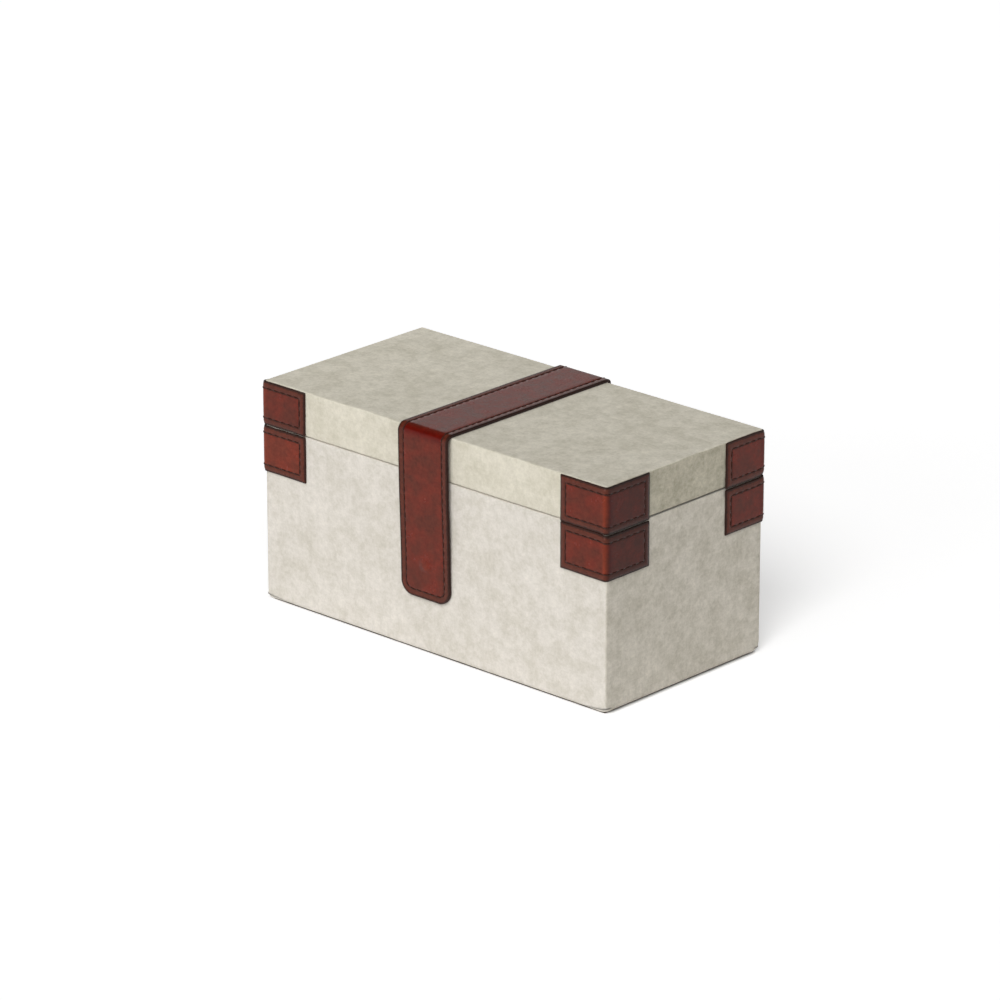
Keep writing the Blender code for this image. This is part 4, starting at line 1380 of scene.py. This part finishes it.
def strap_backing(lines, length, across, radii):
    """Second layer, bored for the magnet, with the stitches that show on the flap's back."""
    hide = Hide(STRAP_WIDTH, length, STRAP_BACKING, STRAP_STITCH, radii, across, lines,
                strap_place(0.0), 50, 0.55, 0.25 * MM)
    backing = hide.build("strap_backing")
    bm = bmesh.new()
    bmesh.ops.create_cone(bm, cap_ends=True, segments=40, radius1=MAGNET_HOLE,
                          radius2=MAGNET_HOLE, depth=OVERRUN,
                          matrix=Matrix.Translation((STRAP_X, -HALF_DEPTH - FLAP_NEAR,
                                                     MAGNET_HEIGHT))
                          @ Matrix.Rotation(math.pi / 2, 4, 'X'))
    mesh = bpy.data.meshes.new("magnet_hole")
    bm.to_mesh(mesh)
    bm.free()
    cut(backing, [place_object("magnet_hole", mesh)])
    finish_piece(backing, SUEDE_LOOK, None,
                 ["strap_lid_backing", "strap_flap_backing"])
    flex(backing)
    first = length - (FLEX_END - FLAP_END)
    thread = sew("flap_back_stitches", hide, strap_runs(hide, first), face="inner")
    finish_piece(thread, THREAD_LOOK, "strap_flap")


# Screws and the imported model's own pieces


def screw_mesh():
    """Countersunk screw with a slot across its head, its head's face at z = 0."""
    profile = [(0, 0), (SCREW_HEAD * 0.94, 0), (SCREW_HEAD, -0.08 * MM),
               (SCREW_SHANK, -SCREW_NECK)]
    for turn in range(SCREW_THREADS):
        height = SCREW_NECK + 0.6 * MM + turn * SCREW_PITCH
        profile += [(SCREW_SHANK * 0.78, -height), (SCREW_SHANK, -height - SCREW_PITCH / 2)]
    profile += [(SCREW_SHANK * 0.4, -SCREW_LENGTH), (0, -SCREW_LENGTH)]
    sides = SCREW_SIDES
    points, faces = [Vector((0, 0, 0))], []
    for radius, height in profile[1:-1]:
        points += [Vector((radius * math.cos(math.tau * k / sides),
                           radius * math.sin(math.tau * k / sides), height))
                   for k in range(sides)]
    points.append(Vector((0, 0, -SCREW_LENGTH)))
    rings = len(profile) - 2
    for k in range(sides):
        after = (k + 1) % sides
        faces.append((0, 1 + k, 1 + after))
        for row in range(rings - 1):
            first = 1 + row * sides
            faces.append((first + k, first + sides + k, first + sides + after, first + after))
        last = 1 + (rings - 1) * sides
        faces.append((last + k, len(points) - 1, last + after))
    made = new_object("screw", points, faces)
    face_outwards(made)
    cut(made, [block("slot", (-SCREW_HEAD * 2, -SLOT_WIDTH / 2, -SLOT_DEPTH),
                     (SCREW_HEAD * 2, SLOT_WIDTH / 2, MM))])
    mesh = made.data
    bpy.data.objects.remove(made, do_unlink=True)
    return mesh


def screws():
    mesh = screw_mesh()
    for side in ("left", "right"):
        for body, flip in (("base", False), ("lid", True)):
            for index, end in enumerate(("left", "right")):
                node = "hinge_" + side + "_" + body + "_screw_" + end
                low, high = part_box(node)
                made = place_object(node + "_slotted", mesh.copy())
                turn = Matrix.Rotation(math.radians(23 + 61 * index + 17 * flip), 4, 'Z')
                tip = Matrix.Rotation(math.pi if flip else 0, 4, 'X')
                head = Vector(((low.x + high.x) / 2, (low.y + high.y) / 2,
                               low.z if flip else high.z))
                made.matrix_world = Matrix.Translation(head) @ tip @ turn
                finish_piece(made, BRASS_LOOK, body, [node])
                made.data.set_sharp_from_angle(angle=math.radians(35))


def dress_own_pieces():
    """Materials for the boards, hinges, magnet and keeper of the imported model."""
    for name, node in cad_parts.items():
        look = None
        if name.endswith(("_board", "_rail")):
            look = BOARD_LOOK
        elif name.endswith("_leaf"):
            look = BRASS_LOOK
        elif name.endswith(("_pin", "_magnet", "_keeper")):
            look = STEEL_LOOK
        if look and not node.hide_render:
            for place in node.material_slots:
                place.material = look


# Camera, floor and light


def camera():
    made = place_object("camera", bpy.data.cameras.new("camera"))
    made.data.lens = CAMERA_LENS
    away = Vector((math.sin(CAMERA_TURN) * math.cos(CAMERA_RISE),
                   -math.cos(CAMERA_TURN) * math.cos(CAMERA_RISE), math.sin(CAMERA_RISE)))
    made.location = Vector(CAMERA_AIM) + away * CAMERA_DISTANCE
    made.rotation_euler = (-away).to_track_quat('-Z', 'Y').to_euler()
    bpy.context.scene.camera = made


def floor():
    """Plain pale floor keeping the box's shadow, painted shade where the box all but touches it.
    """
    reach = FLOOR_REACH
    made = new_object("floor", [(-reach, -reach, 0), (reach, -reach, 0), (reach, reach, 0),
                                (-reach, reach, 0)], [(0, 1, 2, 3)])
    look = Look("floor", 0.9, Specular_IOR_Level=0.0)
    look.wire(shade(FLOOR_PALE), look.inputs["Base Color"])
    look.wire(WHITE, look.inputs["Emission Color"])
    sides = []
    for part, half in zip(look.parts(look.place()), CONTACT_HALF):
        shifted = look.maths('SUBTRACT', part, CONTACT_MIDDLE)
        past = look.maths('SUBTRACT', look.maths('ABSOLUTE', shifted), half - CONTACT_ROUND)
        sides.append(look.maths('POWER', look.maths('MAXIMUM', past, 0.0), 2.0))
    reach = look.maths('SQRT', look.maths('ADD', *sides))
    # Painted shade: the glow is cut under the box's footprint, darkening the contact line
    away = look.remap(look.maths('SUBTRACT', reach, CONTACT_ROUND), *CONTACT_FADE,
                      0.0, FLOOR_LIFT)
    look.wire(look.maths('MULTIPLY', look.seen_directly(), away),
              look.inputs["Emission Strength"])
    made.data.materials.append(look.made)


def sky():
    """Even light all round, white where it is seen, with a duller ceiling in reflections."""
    world = bpy.data.worlds.new("studio")
    bpy.context.scene.world = world
    world.use_nodes = True
    nodes = Nodes(world.node_tree)
    background = nodes.tree.nodes["Background"].inputs
    background["Color"].default_value = WHITE
    where = nodes.parts(nodes.node('ShaderNodeTexCoord', {}, "Generated"))
    ceiling = nodes.remap(where[2], *CEILING_EDGE, 1.0, CEILING_LEVEL)
    seen = nodes.between(nodes.rays("Glossy"), 1.0, ceiling)
    level = nodes.between(nodes.seen_directly(), SKY_LEVEL, seen)
    nodes.wire(level, background["Strength"])


def soft_light():
    for name, (source, strength, spread_angle) in SUNS.items():
        made = place_object(name, bpy.data.lights.new(name, 'SUN'))
        made.data.energy = strength
        made.data.angle = spread_angle
        made.rotation_euler = (-Vector(source)).to_track_quat('-Z', 'Y').to_euler()


camera()
floor()
sky()
soft_light()
base_canvas()
lid_canvas()
linings()
felt_pad()
corner_patches()
strap()
screws()
dress_own_pieces()

bpy.context.scene.view_settings.view_transform = 'Standard'
